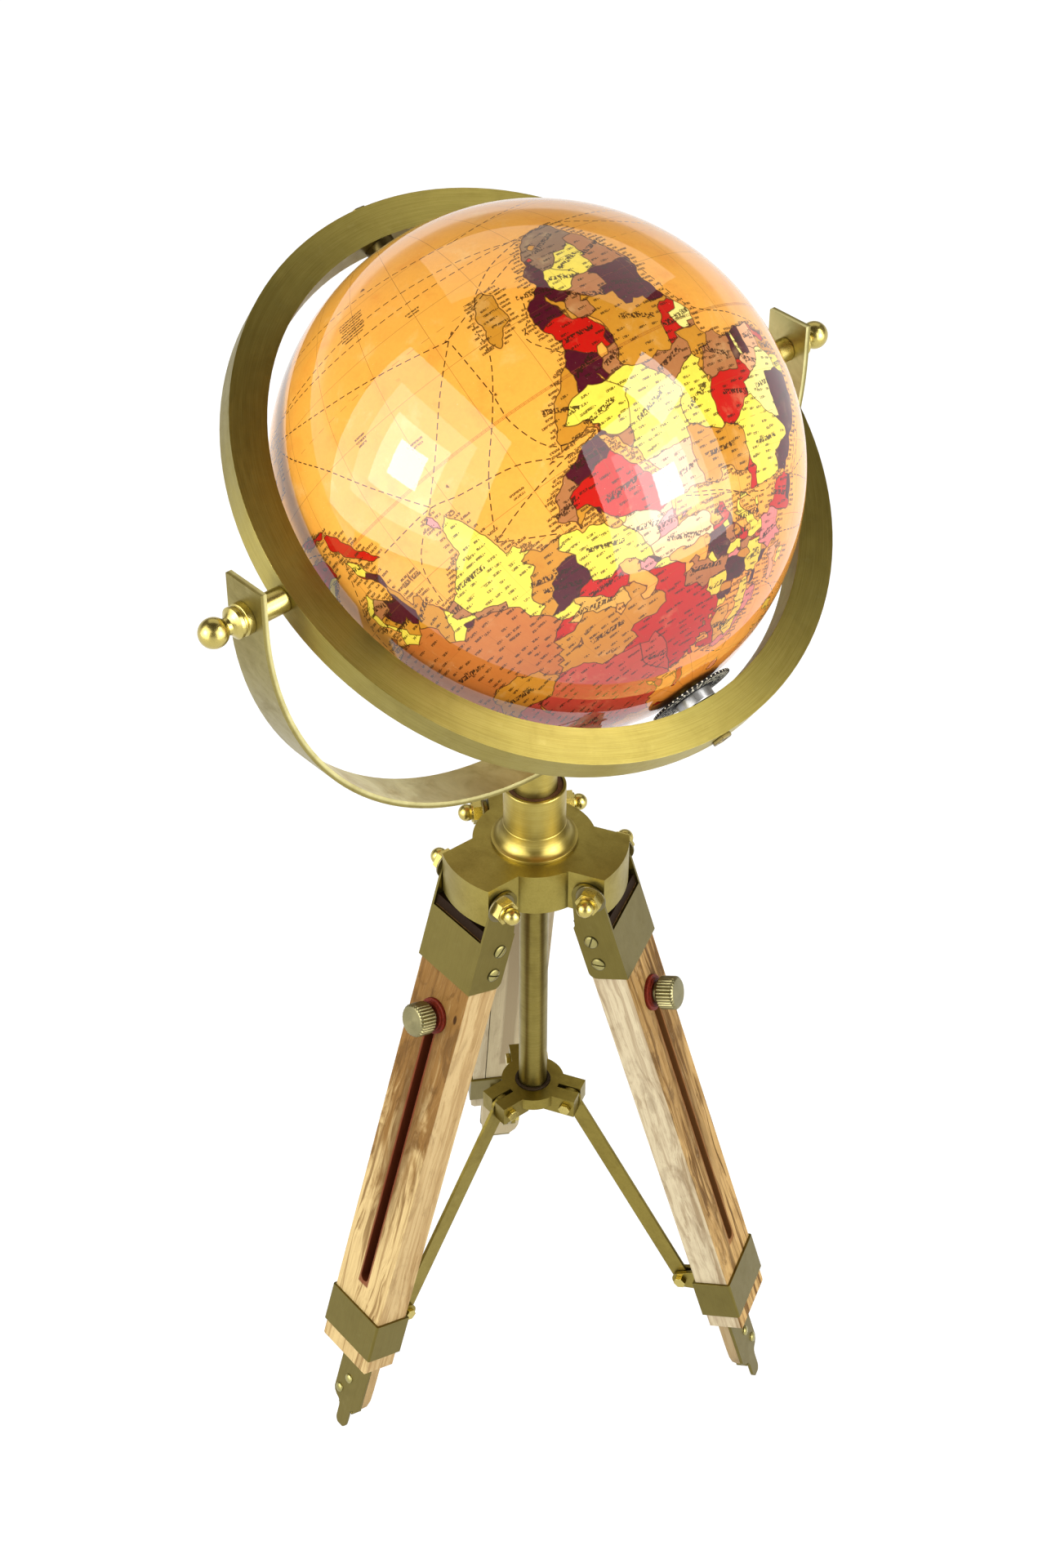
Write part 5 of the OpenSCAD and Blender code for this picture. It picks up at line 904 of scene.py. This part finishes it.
def build_map():
    land = {k: jag(deg(v), 0.13) for k, v in LAND.items()}
    sea = {k: jag(deg(v), 0.10) for k, v in SEA.items()}
    regions = [(ln.split()[0], jag(deg(ln[2:]), 0.09, 1.1)) for ln in LANDS.strip().split("\n")]
    rng = np.random.default_rng(11)
    mainland = [land[k] for k in land]

    def label(P):
        lab = np.zeros(len(P), int)           # 0 is sea
        inks = [None]
        for k, poly in land.items():
            inks.append(LAND_INK.get(k, "O"))
            lab[inside(P, poly)] = len(inks) - 1
        dry = lab > 0
        # only the big lands are divided up
        big = np.zeros(len(P), bool)
        for k in ("africa", "eurasia", "chukotka", "namerica", "samerica", "australia", "newguinea", "borneo"):
            big |= inside(P, land[k])
        for c, poly in regions:
            inks.append(c)
            sel = inside(P, poly) & big
            lab[sel] = len(inks) - 1
        for poly in sea.values():
            lab[inside(P, poly)] = 0
        return lab, inks

    # ---- ink: sailing routes, dashes beside the coasts and on the land
    quads = []

    kinds = []

    def dash(x, y, dx, dy, L, wd, kind=1):
        """A dash of length L and width wd (mm) centred on (x, y), along (dx, dy) given in mm directions."""
        mm = R_GLOBE * math.pi / 180
        cl = max(0.15, math.cos(math.radians(y)))
        h = math.hypot(dx, dy)
        ux, uy = dx / h, dy / h
        q = []
        for a, b in ((-1, -1), (1, -1), (1, 1), (-1, 1)):
            ox = (ux * a * L / 2 - uy * b * wd / 2) / mm / cl
            oy = (uy * a * L / 2 + ux * b * wd / 2) / mm
            q.append((x + ox, y + oy))
        if max(abs(p[0]) for p in q) < 179.5 and max(abs(p[1]) for p in q) < 86:
            quads.append(q)
            kinds.append(kind)

    mm = R_GLOBE * math.pi / 180
    for r in ROUTES:
        P = deg(r)
        # smooth the route, then walk along it
        fine = []
        for i in range(len(P) - 1):
            p0, p1, p2, p3 = P[max(0, i - 1)], P[i], P[i + 1], P[min(len(P) - 1, i + 2)]
            for t in np.linspace(0, 1, 24, endpoint=False):
                fine.append(tuple(0.5 * (2 * p1[j] + (p2[j] - p0[j]) * t + (2 * p0[j] - 5 * p1[j] + 4 * p2[j] - p3[j]) * t * t + (3 * p1[j] - p0[j] - 3 * p2[j] + p3[j]) * t ** 3) for j in (0, 1)))
        fine.append(P[-1])
        run, nxt = 0.0, 1.2
        for a, b in zip(fine, fine[1:]):
            cl = math.cos(math.radians(a[1]))
            dx, dy = (b[0] - a[0]) * cl * mm, (b[1] - a[1]) * mm
            L = math.hypot(dx, dy)
            while L > 0 and run + L >= nxt:
                t = (nxt - run) / L
                dash(a[0] + (b[0] - a[0]) * t, a[1] + (b[1] - a[1]) * t, dx, dy, 2.4, 0.44)
                nxt += 3.7
            run += L
    if True:
        # comb of short dashes off the coasts
        cand = []
        for k, poly in land.items():
            if k == "antarctica" or len(poly) < 8:
                continue
            acc = 0
            for i in range(len(poly)):
                a, b = poly[i], poly[(i + 1) % len(poly)]
                acc += math.hypot((b[0] - a[0]) * math.cos(math.radians(a[1])), b[1] - a[1]) * mm
                if acc > 1.75 and abs(b[1] - a[1]) > 0.25 * abs(b[0] - a[0]):
                    acc = 0
                    cand.append(((a[0] + b[0]) / 2, (a[1] + b[1]) / 2))
        cand = np.array(cand)
        L = rng.uniform(1.8, 4.8, len(cand))
        cl = np.cos(np.radians(cand[:, 1])) * mm
        for s in (-1, 1):
            ends = [cand + np.c_[s * (0.7 + L * f) / cl, np.zeros(len(cand))] for f in (0, 0.5, 1)]
            ok = np.ones(len(cand), bool)
            for e in ends:
                l, _ = label(e)
                ok &= l == 0
            for i in np.nonzero(ok)[0]:
                if abs(cand[i][1]) < 72:
                    dash(cand[i][0] + s * (0.7 + L[i] / 2) / cl[i], cand[i][1], 1, 0, L[i], 0.92, 2)
        # places: a dot and a dash
        pts_ = []
        for la in np.arange(-54, 72, 1.55):
            st = 3.1 / math.cos(math.radians(la))
            for lo_ in np.arange(-170, 179, st):
                pts_.append((lo_ + rng.uniform(-0.38, 0.38) * st, la + rng.uniform(-0.3, 0.3)))
        pts_ = np.array(pts_)
        keep_ = rng.uniform(0, 1, len(pts_)) < 0.72
        pts_ = pts_[keep_]
        l, _ = label(pts_)
        pts_ = pts_[l > 0]
        L = rng.uniform(1.5, 3.6, len(pts_))
        for (x, y), ln in zip(pts_, L):
            cl = math.cos(math.radians(y)) * mm
            dash(x + (0.55 + ln / 2) / cl, y, 1, 0, ln, 0.92, 2)
            dash(x, y, 1, 1, 0.42, 0.42)

    # a bolder bar across each of the larger regions
    for c_, poly in regions:
        q = np.array(poly)
        ctr = (q.min(0) + q.max(0)) / 2
        ext = (q.max(0) - q.min(0)) * (mm * math.cos(math.radians(ctr[1])), mm)
        if min(ext) > 7 and abs(ctr[1]) < 70:
            l, _ = label(np.array([ctr]))
            if l[0] > 0:
                ln = min(14.0, ext[0] * 0.72)
                dash(ctr[0], ctr[1], 1, rng.uniform(-0.5, 0.5), ln, 1.85, 3)

    # ruled small print in the open sea
    for lon0, lat0, rows_, wd_ in ((76, -37, 8, 11.0), (74, -6, 2, 7.0), (60, -31, 2, 6.0), (84, -14, 3, 5.0), (63, 14, 2, 6.0), (-30, 22, 6, 10.0), (-140, -30, 8, 12.0), (-25, -40, 5, 9.0), (170, 38, 5, 9.0)):
        for r_ in range(rows_):
            ln = wd_ * (1.0 if r_ % 4 else 0.8)
            dash(lon0, lat0 - r_ * 0.85, 1, 0, ln, 0.80, 2)
    # ---- points and edges for the triangulation
    V, E = [], []

    def ring(poly):
        b = len(V)
        V.extend(poly)
        n = len(poly)
        E.extend((b + i, b + (i + 1) % n) for i in range(n))
    for poly in list(land.values()) + list(sea.values()) + [p for _, p in regions] + quads:
        ring(poly)
    G = []
    stp = 2.0
    rows = np.arange(-90, 90.01, stp)
    for la in rows:
        n = max(12, int(round(360 / stp * math.cos(math.radians(la)))))
        for i in range(n + 1):
            G.append((-180 + 360 * i / n, la))
    for poly, w in [(p, 0.42) for p in list(land.values()) + list(sea.values())] + [(p, 0.42) for _, p in regions]:
        n = len(poly)
        for i in range(n):
            a, b = poly[i], poly[(i + 1) % n]
            cl = max(0.15, math.cos(math.radians(a[1])))
            dx, dy = (b[0] - a[0]) * cl, b[1] - a[1]
            h = math.hypot(dx, dy)
            if h < 1e-6:
                continue
            for s in (-1, 1):
                x, y = (a[0] + b[0]) / 2 - s * dy / h * w / cl, (a[1] + b[1]) / 2 + s * dx / h * w
                if abs(x) < 179.4 and abs(y) < 88:
                    G.append((x, y))
    extra = []
    for it in range(2):
        allv = [Vector(p) for p in V + G + extra]
        vs, es, fs, _, _, _ = geometry.delaunay_2d_cdt(allv, E, [], 0, 2e-4)
        P = np.array([(v[0], v[1]) for v in vs], float)
        Fc = np.array(fs, int)
        cen = P[Fc].mean(1)
        lab, inks = label(cen)
        # border edges: their two triangles differ
        ed = np.sort(np.concatenate([Fc[:, [0, 1]], Fc[:, [1, 2]], Fc[:, [2, 0]]]), 1)
        own = np.tile(np.arange(len(Fc)), 3)
        key = ed[:, 0].astype(np.int64) * len(P) + ed[:, 1]
        order = np.argsort(key, kind="stable")
        k2, o2 = key[order], own[order]
        same = np.nonzero(k2[1:] == k2[:-1])[0]
        diff = lab[o2[same]] != lab[o2[same + 1]]
        bord = ed[order][same[diff]]
        isb = np.zeros(len(P), bool)
        isb[bord.ravel()] = True
        if it == 0:
            nb = ed[order][same[~diff]]
            nb = nb[isb[nb[:, 0]] & isb[nb[:, 1]]]
            mid = P[nb].mean(1)
            extra = [tuple(m) for m in mid]
    return P, Fc, lab, inks, cen, bord, quads, np.array(kinds)


def make_globe():
    P, Fc, lab, inks, cen, bord, quads, kinds = build_map()
    ink = np.zeros(len(cen), int)
    # dashes are small: find the triangles inside them by cell
    cell = {}
    for i, q in enumerate(quads):
        xs, ys = [p[0] for p in q], [p[1] for p in q]
        for cx in range(int(min(xs) // 2), int(max(xs) // 2) + 1):
            for cy in range(int(min(ys) // 2), int(max(ys) // 2) + 1):
                cell.setdefault((cx, cy), []).append(i)
    kx, ky = (cen[:, 0] // 2).astype(int), (cen[:, 1] // 2).astype(int)
    Q = np.array(quads)
    order = np.lexsort((ky, kx))
    grp = {}
    for i in order:
        grp.setdefault((kx[i], ky[i]), []).append(i)
    for kk, ids in grp.items():
        if kk in cell:
            ids = np.array(ids)
            qs = Q[cell[kk]]
            c = cen[ids]
            a = qs[None, :, :, :]
            b = np.roll(qs, -1, axis=1)[None, :, :, :]
            cr = (b[..., 0] - a[..., 0]) * (c[:, None, None, 1] - a[..., 1]) - (b[..., 1] - a[..., 1]) * (c[:, None, None, 0] - a[..., 0])
            hit = (np.all(cr > 0, axis=2) | np.all(cr < 0, axis=2)) * kinds[cell[kk]][None, :]
            ink[ids] = np.maximum(ink[ids], hit.max(1))
    # distance to the nearest border, in mm on the paper
    lon, lat = np.radians(P[:, 0]), np.radians(P[:, 1])
    X = np.c_[np.cos(lat) * np.cos(lon), np.cos(lat) * np.sin(lon), np.sin(lat)]
    from mathutils import kdtree
    samp = []
    A, B = P[bord[:, 0]], P[bord[:, 1]]
    for t in (0, 0.2, 0.4, 0.6, 0.8, 1.0):
        samp.append(A * (1 - t) + B * t)
    samp = np.concatenate(samp)
    sl, sa = np.radians(samp[:, 0]), np.radians(samp[:, 1])
    S = np.c_[np.cos(sa) * np.cos(sl), np.cos(sa) * np.sin(sl), np.sin(sa)]
    kd = kdtree.KDTree(len(S))
    for i, s in enumerate(S):
        kd.insert(s, i)
    kd.balance()
    isb = np.zeros(len(P), bool)
    isb[bord.ravel()] = True
    d = np.array([0.0 if isb[i] else min(6.0, kd.find(X[i])[2] * R_GLOBE) for i in range(len(P))])
    me = bpy.data.meshes.new("globe_map")
    Mx = F_GLOBE
    co = X * R_GLOBE
    R3 = np.array(Mx.to_3x3())
    co = co @ R3.T + np.array(Mx.translation)
    me.from_pydata((co * MM).tolist(), [], Fc.tolist())
    cols = np.zeros((len(Fc), 4), np.float32)
    cols[:, 3] = 1
    table_ = np.array([INK_SEA if c is None else INKS[c] for c in inks], np.float32)
    cols[:, :3] = table_[lab]
    cols[:, :3] *= 1.0
    corner = np.repeat(cols, 3, axis=0)
    ca = me.color_attributes.new("print", "FLOAT_COLOR", "CORNER")
    ca.data.foreach_set("color", corner.ravel())
    at = me.attributes.new("ink", "FLOAT", "FACE")
    at.data.foreach_set("value", ink.astype(np.float32))
    at = me.attributes.new("sea", "FLOAT", "FACE")
    at.data.foreach_set("value", (lab == 0).astype(np.float32))
    at = me.attributes.new("border", "FLOAT", "POINT")
    at.data.foreach_set("value", d.astype(np.float32))
    bm = bmesh.new()
    bm.from_mesh(me)
    bmesh.ops.remove_doubles(bm, verts=bm.verts, dist=2e-6)
    bad = [f for f in bm.faces if f.calc_area() < 1e-13]
    if bad:
        bmesh.ops.dissolve_degenerate(bm, dist=1e-7, edges=bm.edges)
    bmesh.ops.recalc_face_normals(bm, faces=bm.faces)
    bm.to_mesh(me)
    open_edges = sum(1 for e in bm.edges if len(e.link_faces) != 2)
    bm.free()
    for p in me.polygons:
        p.use_smooth = True
    c0 = np.array(Mx.translation) * MM
    vc = np.zeros(len(me.vertices) * 3)
    me.vertices.foreach_get("co", vc)
    nn = vc.reshape(-1, 3) - c0
    nn /= np.linalg.norm(nn, axis=1)[:, None]
    me.normals_split_custom_set_from_vertices(nn.tolist())
    ob = link(bpy.data.objects.new("globe_map", me))
    me.materials.append(globe_paper())
    print("globe", len(me.vertices), len(me.polygons), "open", open_edges, "ink", int((ink > 0).sum()))
    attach(ob, "globe")
    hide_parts("globe_north_shell", "globe_south_shell")
    return ob


def globe_paper():
    n = Net("globe_paper")
    p = n.local(F_GLOBE)
    x, y, z = n.sep(p)
    R = R_GLOBE
    at = lambda name, out="Fac": n.new("ShaderNodeAttribute", attribute_name=name).outputs[out]
    col, ink, sea, d = at("print", "Color"), at("ink"), at("sea"), at("border")
    lat = n.math("ARCSINE", n.math("DIVIDE", z, R, clamp=False))
    latmm = n.math("MULTIPLY", lat, R)
    lon = n.math("ARCTAN2", y, x)
    coslat = n.math("COSINE", lat)

    def near(v, period, half, soft):
        """1 where v is within half of a multiple of period."""
        m = n.math("ABSOLUTE", n.math("SUBTRACT", n.math("MULTIPLY", n.math("FRACT", n.math("ADD", n.math("DIVIDE", v, period), 0.5)), period), period / 2))
        return n.step(m, half + soft, half)
    g = math.radians(15)
    par = near(latmm, g * R, 0.07, 0.07)
    # meridians: distance across, in mm, shrinks towards the poles
    fr = n.math("SUBTRACT", n.math("MULTIPLY", n.math("FRACT", n.math("ADD", n.math("DIVIDE", lon, g), 0.5)), g), g / 2)
    mer = n.step(n.math("MULTIPLY", n.math("MULTIPLY", n.math("ABSOLUTE", fr), coslat), R), 0.14, 0.07)
    mer = n.math("MULTIPLY", mer, n.step(n.math("ABSOLUTE", lat), math.radians(81), math.radians(80)))
    grat = n.math("MAXIMUM", par, mer)
    # the equator is a double rule with a tick every degree
    al = n.math("ABSOLUTE", latmm)
    eq = n.step(n.math("ABSOLUTE", n.math("SUBTRACT", al, 0.42)), 0.15, 0.08)
    dg = math.radians(1)
    tk = n.math("SUBTRACT", n.math("MULTIPLY", n.math("FRACT", n.math("ADD", n.math("DIVIDE", lon, dg), 0.5)), dg), dg / 2)
    tick = n.math("MULTIPLY", n.step(n.math("MULTIPLY", n.math("ABSOLUTE", tk), R), 0.12, 0.06), n.step(al, 0.46, 0.42))
    # tropics and polar circles are dashed
    dashes = n.step(n.math("SINE", n.math("MULTIPLY", lon, 90.0)), -0.2, 0.1)
    tro = n.step(n.math("ABSOLUTE", n.math("SUBTRACT", al, math.radians(23.44) * R)), 0.20, 0.10)
    pol = n.step(n.math("ABSOLUTE", n.math("SUBTRACT", al, math.radians(66.56) * R)), 0.20, 0.10)
    tp = n.math("MULTIPLY", n.math("MAXIMUM", tro, pol), dashes)
    # aged paper
    m1 = n.noise(p, 0.016, 4, 0.6, 0.4)
    m2 = n.noise(p, 0.075, 5, 0.62, 0.3, w=3.3)
    m3 = n.noise(p, 0.9, 3, 0.6, w=6.1)
    fox = n.noise(p, 0.22, 3, 0.55, w=9.2)
    c = n.mix(n.math("MULTIPLY", sea, n.math("MULTIPLY", n.step(m1, 0.40, 0.62), 0.45)), col, hexc(244, 166, 74))
    c = n.mix(n.math("MULTIPLY", n.step(m2, 0.52, 0.72), 0.22), c, hexc(226, 150, 84), "MULTIPLY")
    c = n.mix(n.math("MULTIPLY", n.step(m2, 0.46, 0.28), 0.20), c, hexc(255, 222, 160))
    c = n.mix(n.math("MULTIPLY", n.step(fox, 0.68, 0.75), 0.30), c, hexc(196, 116, 44))
    c = n.mix(n.math("MULTIPLY", n.step(m3, 0.40, 0.65), 0.06), c, hexc(120, 70, 30))
    # shading washed along the coast, on the sea side
    wash = n.math("MULTIPLY", sea, n.step(d, 1.5, 0.1))
    c = n.mix(n.math("MULTIPLY", wash, 0.26), c, hexc(206, 128, 48))
    c = n.mix(n.math("MULTIPLY", grat, n.lin(sea, 0, 1, 0.34, 0.62)), c, hexc(134, 78, 30))
    c = n.mix(n.math("MULTIPLY", n.math("MAXIMUM", eq, n.math("MULTIPLY", tick, 0.8)), 0.6), c, hexc(150, 66, 34))
    c = n.mix(n.math("MULTIPLY", tp, 0.5), c, hexc(120, 70, 26))
    c = n.mix(n.math("MULTIPLY", n.step(d, 0.30, 0.14), 0.82), c, INK_LINE)
    u = n.math("MULTIPLY", n.math("MULTIPLY", lon, coslat), R)
    fine_ = n.noise(n.comb(n.math("MULTIPLY", u, 2.1), n.math("MULTIPLY", latmm, 1.2), 0.0), 1.0, 2, 0.6, w=3.0)
    bold_ = n.noise(n.comb(n.math("MULTIPLY", u, 1.15), n.math("MULTIPLY", latmm, 0.7), 0.0), 1.0, 2, 0.6, w=8.0)
    k1 = n.step(n.math("ABSOLUTE", n.math("SUBTRACT", ink, 1.0)), 0.4, 0.2)
    k2 = n.math("MULTIPLY", n.step(n.math("ABSOLUTE", n.math("SUBTRACT", ink, 2.0)), 0.4, 0.2), n.step(fine_, 0.41, 0.47))
    k3 = n.math("MULTIPLY", n.step(n.math("ABSOLUTE", n.math("SUBTRACT", ink, 3.0)), 0.4, 0.2), n.step(bold_, 0.46, 0.50))
    c = n.mix(n.math("MULTIPLY", n.math("MAXIMUM", k1, n.math("MAXIMUM", n.math("MULTIPLY", k2, 0.88), k3)), 0.92), c, hexc(52, 24, 10))
    # dust specks under the varnish
    sp = n.noise(p, 2.4, 2, 0.5, w=5.5)
    c = n.mix(n.math("MULTIPLY", n.step(sp, 0.735, 0.76), 0.6), c, hexc(255, 235, 200))
    wav = n.noise(p, 0.05, 3, 0.5, w=1.7)
    orange = n.noise(p, 0.9, 2, 0.5, w=8.8)
    hh = n.math("ADD", wav, n.math("MULTIPLY", orange, 0.05))
    coatn = n.bump(hh, 0.05, 0.0012)
    # painted shade: the print is darkened towards the northern cap, the underside of the globe as it stands
    c = n.mix(n.math("MULTIPLY", n.step(z, 50, 96), 0.55), c, hexc(196, 120, 92), "MULTIPLY")
    dark = n.mix(1.0, c, (0.69, 0.735, 0.70), "MULTIPLY")
    return n.set(color=dark, rough=n.lin(m2, 0.3, 0.7, 0.5, 0.62), spec=0.02, coat=1.0, coat_rough=0.018, coat_ior=1.60,
                 coat_normal=coatn)


ROUTES = [
    "43,11.8 50,13 60,9 72,7 79,5.3 88,5.5 95,5.8", "72.5,18.5 66,16.5 58,14.5 50,13", "72.5,18.5 66,8 58,-2 52,-12 50,-22 40,-30 28,-33.5", "43,11.8 52,10 56,2 56,-6 57,-20",
    "57,-20 64,-12 72,-2 79,5", "57,-20 75,-24 95,-28 115,-32.5", "79,5 86,-4 96,-16 108,-26 115,-32", "79,5.3 88,12 91,20.5", "72.5,18.5 68,21 61,24.5", "45,12.3 41,16 38,21 35,27",
    "40,-4.5 44,-10.5 41,-15 39,-20", "32,-29.8 42,-26 57,-20.3", "28,-33.5 45,-37 70,-39 100,-37 115,-35.5", "-10,36 -14,30 -18,20 -18,14 -14,6 -4,2 8,-2 12,-14 16,-30", "16,-34 0,-28 -20,-25 -43,-23.5", "-43,-23.5 -34,-12 -32,0 -26,15 -14,33 -10,37",
    "-5,48.5 -20,48 -40,45 -60,42.5 -73,40.3", "-10,37 -30,38 -50,38 -73,40", "-10,37 -30,30 -55,22 -74,19", "31.5,32 26,34 18,36 11,37.7 4,38.4 -5.4,36", "8,44 9,41 12,38.3 20,35 30,32", "104,1 108,8 112,14 114,21", "104,-1 112,-5 120,-7 130,-9.5 141,-10.5",
    "115,-32.5 130,-35 140,-39 151,-34", "151,-34 163,-36 172,-36", "174,-37 -175,-30", "140,34 155,38 178,41", "-179,41 -160,42 -140,41 -124,38", "140,34 158,30 179,24", "-179,24 -160,22 -140,28 -118,33.5", "-80,7 -95,9 -120,16 -158,21", "-80,7 -82,-4 -78,-13 -73,-32",
    "-73,-33 -77,-46 -76,-53 -66,-56 -60,-45 -54,-36", "-158,21 -165,5 -170,-14 -178,-30", "5,58 15,73 30,72 40,69", "120,32 128,32 134,32", "152,-30 160,-15 165,0 150,20 141,33",
    "5,58 -8,60 -20,62.5", "40,-44 80,-48 120,-48 160,-50", "-60,-58 -20,-50 20,-46 40,-44",
]


make_globe()

# ------------------------------------------------------------------ floor and light
def make_floor():
    me = bpy.data.meshes.new("floor")
    s = 30.0
    me.from_pydata([(-s, -s, 0), (s, -s, 0), (s, s, 0), (-s, s, 0)], [], [(0, 1, 2, 3)])
    ob = link(bpy.data.objects.new("floor", me))
    n = Net("floor_paper")
    p = n.local(F_ROOT)
    f = n.noise(p, 0.02, 3, 0.6)
    g = n.noise(p, 2.0, 2, 0.6)
    c = n.mix(f, (0.115, 0.115, 0.115), (0.14, 0.14, 0.14))
    n.b.inputs["Emission Color"].default_value = (1, 1, 1, 1)
    n.b.inputs["Emission Strength"].default_value = 0.95
    me.materials.append(n.set(color=c, rough=n.lin(g, 0.3, 0.7, 0.55, 0.7), normal=n.bump(g, 0.03, 0.0001), spec=0.25))


make_floor()


def area(name, loc, target, sx, sy, power, color=(1, 1, 1), spread=180):
    l = bpy.data.lights.new(name, "AREA")
    l.shape = "RECTANGLE"
    l.size, l.size_y = sx, sy
    l.energy = power
    l.color = color
    l.spread = math.radians(spread)
    ob = link(bpy.data.objects.new(name, l))
    ob.location = loc
    ob.rotation_mode = "QUATERNION"
    ob.rotation_quaternion = (Vector(target) - Vector(loc)).to_track_quat("-Z", "Y")
    return ob


CEN = (0, 0, 0.46)


def softbox(name, az, el, dist, sx, sy, rad, core, color):
    """A large soft window of light with a brighter middle; az runs from -Y towards +X, rad is its brightness."""
    az, el = math.radians(az), math.radians(el)
    d = Vector((math.sin(az) * math.cos(el), -math.cos(az) * math.cos(el), math.sin(el)))
    c = Vector(CEN)
    for k, (f, g, q) in enumerate(((1.0, 1.0, rad), (0.60, 0.985, core * 0.22), (0.36, 0.97, core * 0.40), (0.17, 0.955, core * 1.3))):
        ob = area("%s_%d" % (name, k), c + d * dist * g, c, sx * f, sy * f, math.pi * sx * sy * f * f * q, color)
        ob.visible_camera = False


softbox("window_left", -56, 21.5, 1.75, 2.45, 2.25, 2.25, 7.0, (1.0, 0.995, 0.985))
softbox("window_right", 60.5, 16, 1.75, 1.9, 2.1, 3.0, 8.4, (1.0, 0.995, 0.985))
hi_ = Vector((math.sin(math.radians(82)) * math.cos(math.radians(45)), -math.cos(math.radians(82)) * math.cos(math.radians(45)), math.sin(math.radians(45))))
area("window_right_upper", Vector(CEN) + hi_ * 1.66, CEN, 0.56, 0.56, math.pi * 0.56 * 0.56 * 5.0, (1.0, 0.995, 0.985)).visible_camera = False
# the pale ceiling behind, which the level faces mirror
up_ = Vector((0.0, math.cos(math.radians(47)), math.sin(math.radians(47))))
area("ceiling", Vector(CEN) + up_ * 2.0, CEN, 2.3, 1.5, math.pi * 2.3 * 1.5 * 0.85, (1.0, 0.98, 0.93)).visible_camera = False

w = bpy.data.worlds.new("studio")
bpy.context.scene.world = w
w.use_nodes = True
wn = w.node_tree
wn.nodes.clear()
W = Net("w", wn)
tc = W.new("ShaderNodeTexCoord")
wx, wy, wz = W.sep(tc.outputs["Generated"])
sky = W.ramp(W.lin(wz, -0.5, 1.0, 0, 1), [(0.0, (1.0, 1.0, 1.0)), (0.362, (1.0, 1.0, 1.0)), (0.40, (0.50, 0.48, 0.44)), (0.45, (0.32, 0.29, 0.24)), (0.54, (0.20, 0.175, 0.13)), (0.76, (0.20, 0.17, 0.12)), (0.86, (0.10, 0.08, 0.05)), (1.0, (0.09, 0.07, 0.045))])
bg = W.new("ShaderNodeBackground")
W.link(sky, bg.inputs[0])
bg.inputs[1].default_value = 1.0
wo = W.new("ShaderNodeOutputWorld")
W.link(bg.outputs[0], wo.inputs[0])

# ------------------------------------------------------------------ camera
cam_d = bpy.data.cameras.new("camera")
cam = link(bpy.data.objects.new("camera", cam_d))
Rv, Uv, Fv = Vector((0.997824, 0.065909, 0.001593)), Vector((-0.04306, 0.633229, 0.772766)), Vector((-0.049924, 0.771153, -0.634689))
m = Matrix((Rv, Uv, -Fv)).transposed().to_4x4()
m.translation = Vector((49.692941, -868.768649, 1044.296753)) * MM
cam.matrix_world = m
cam_d.sensor_width = 36
cam_d.sensor_fit = "AUTO"
cam_d.lens = 3334.47 * 36 / 1920
cam_d.clip_start, cam_d.clip_end = 0.05, 50
bpy.context.scene.camera = cam
bpy.context.scene.view_settings.view_transform = "Standard"
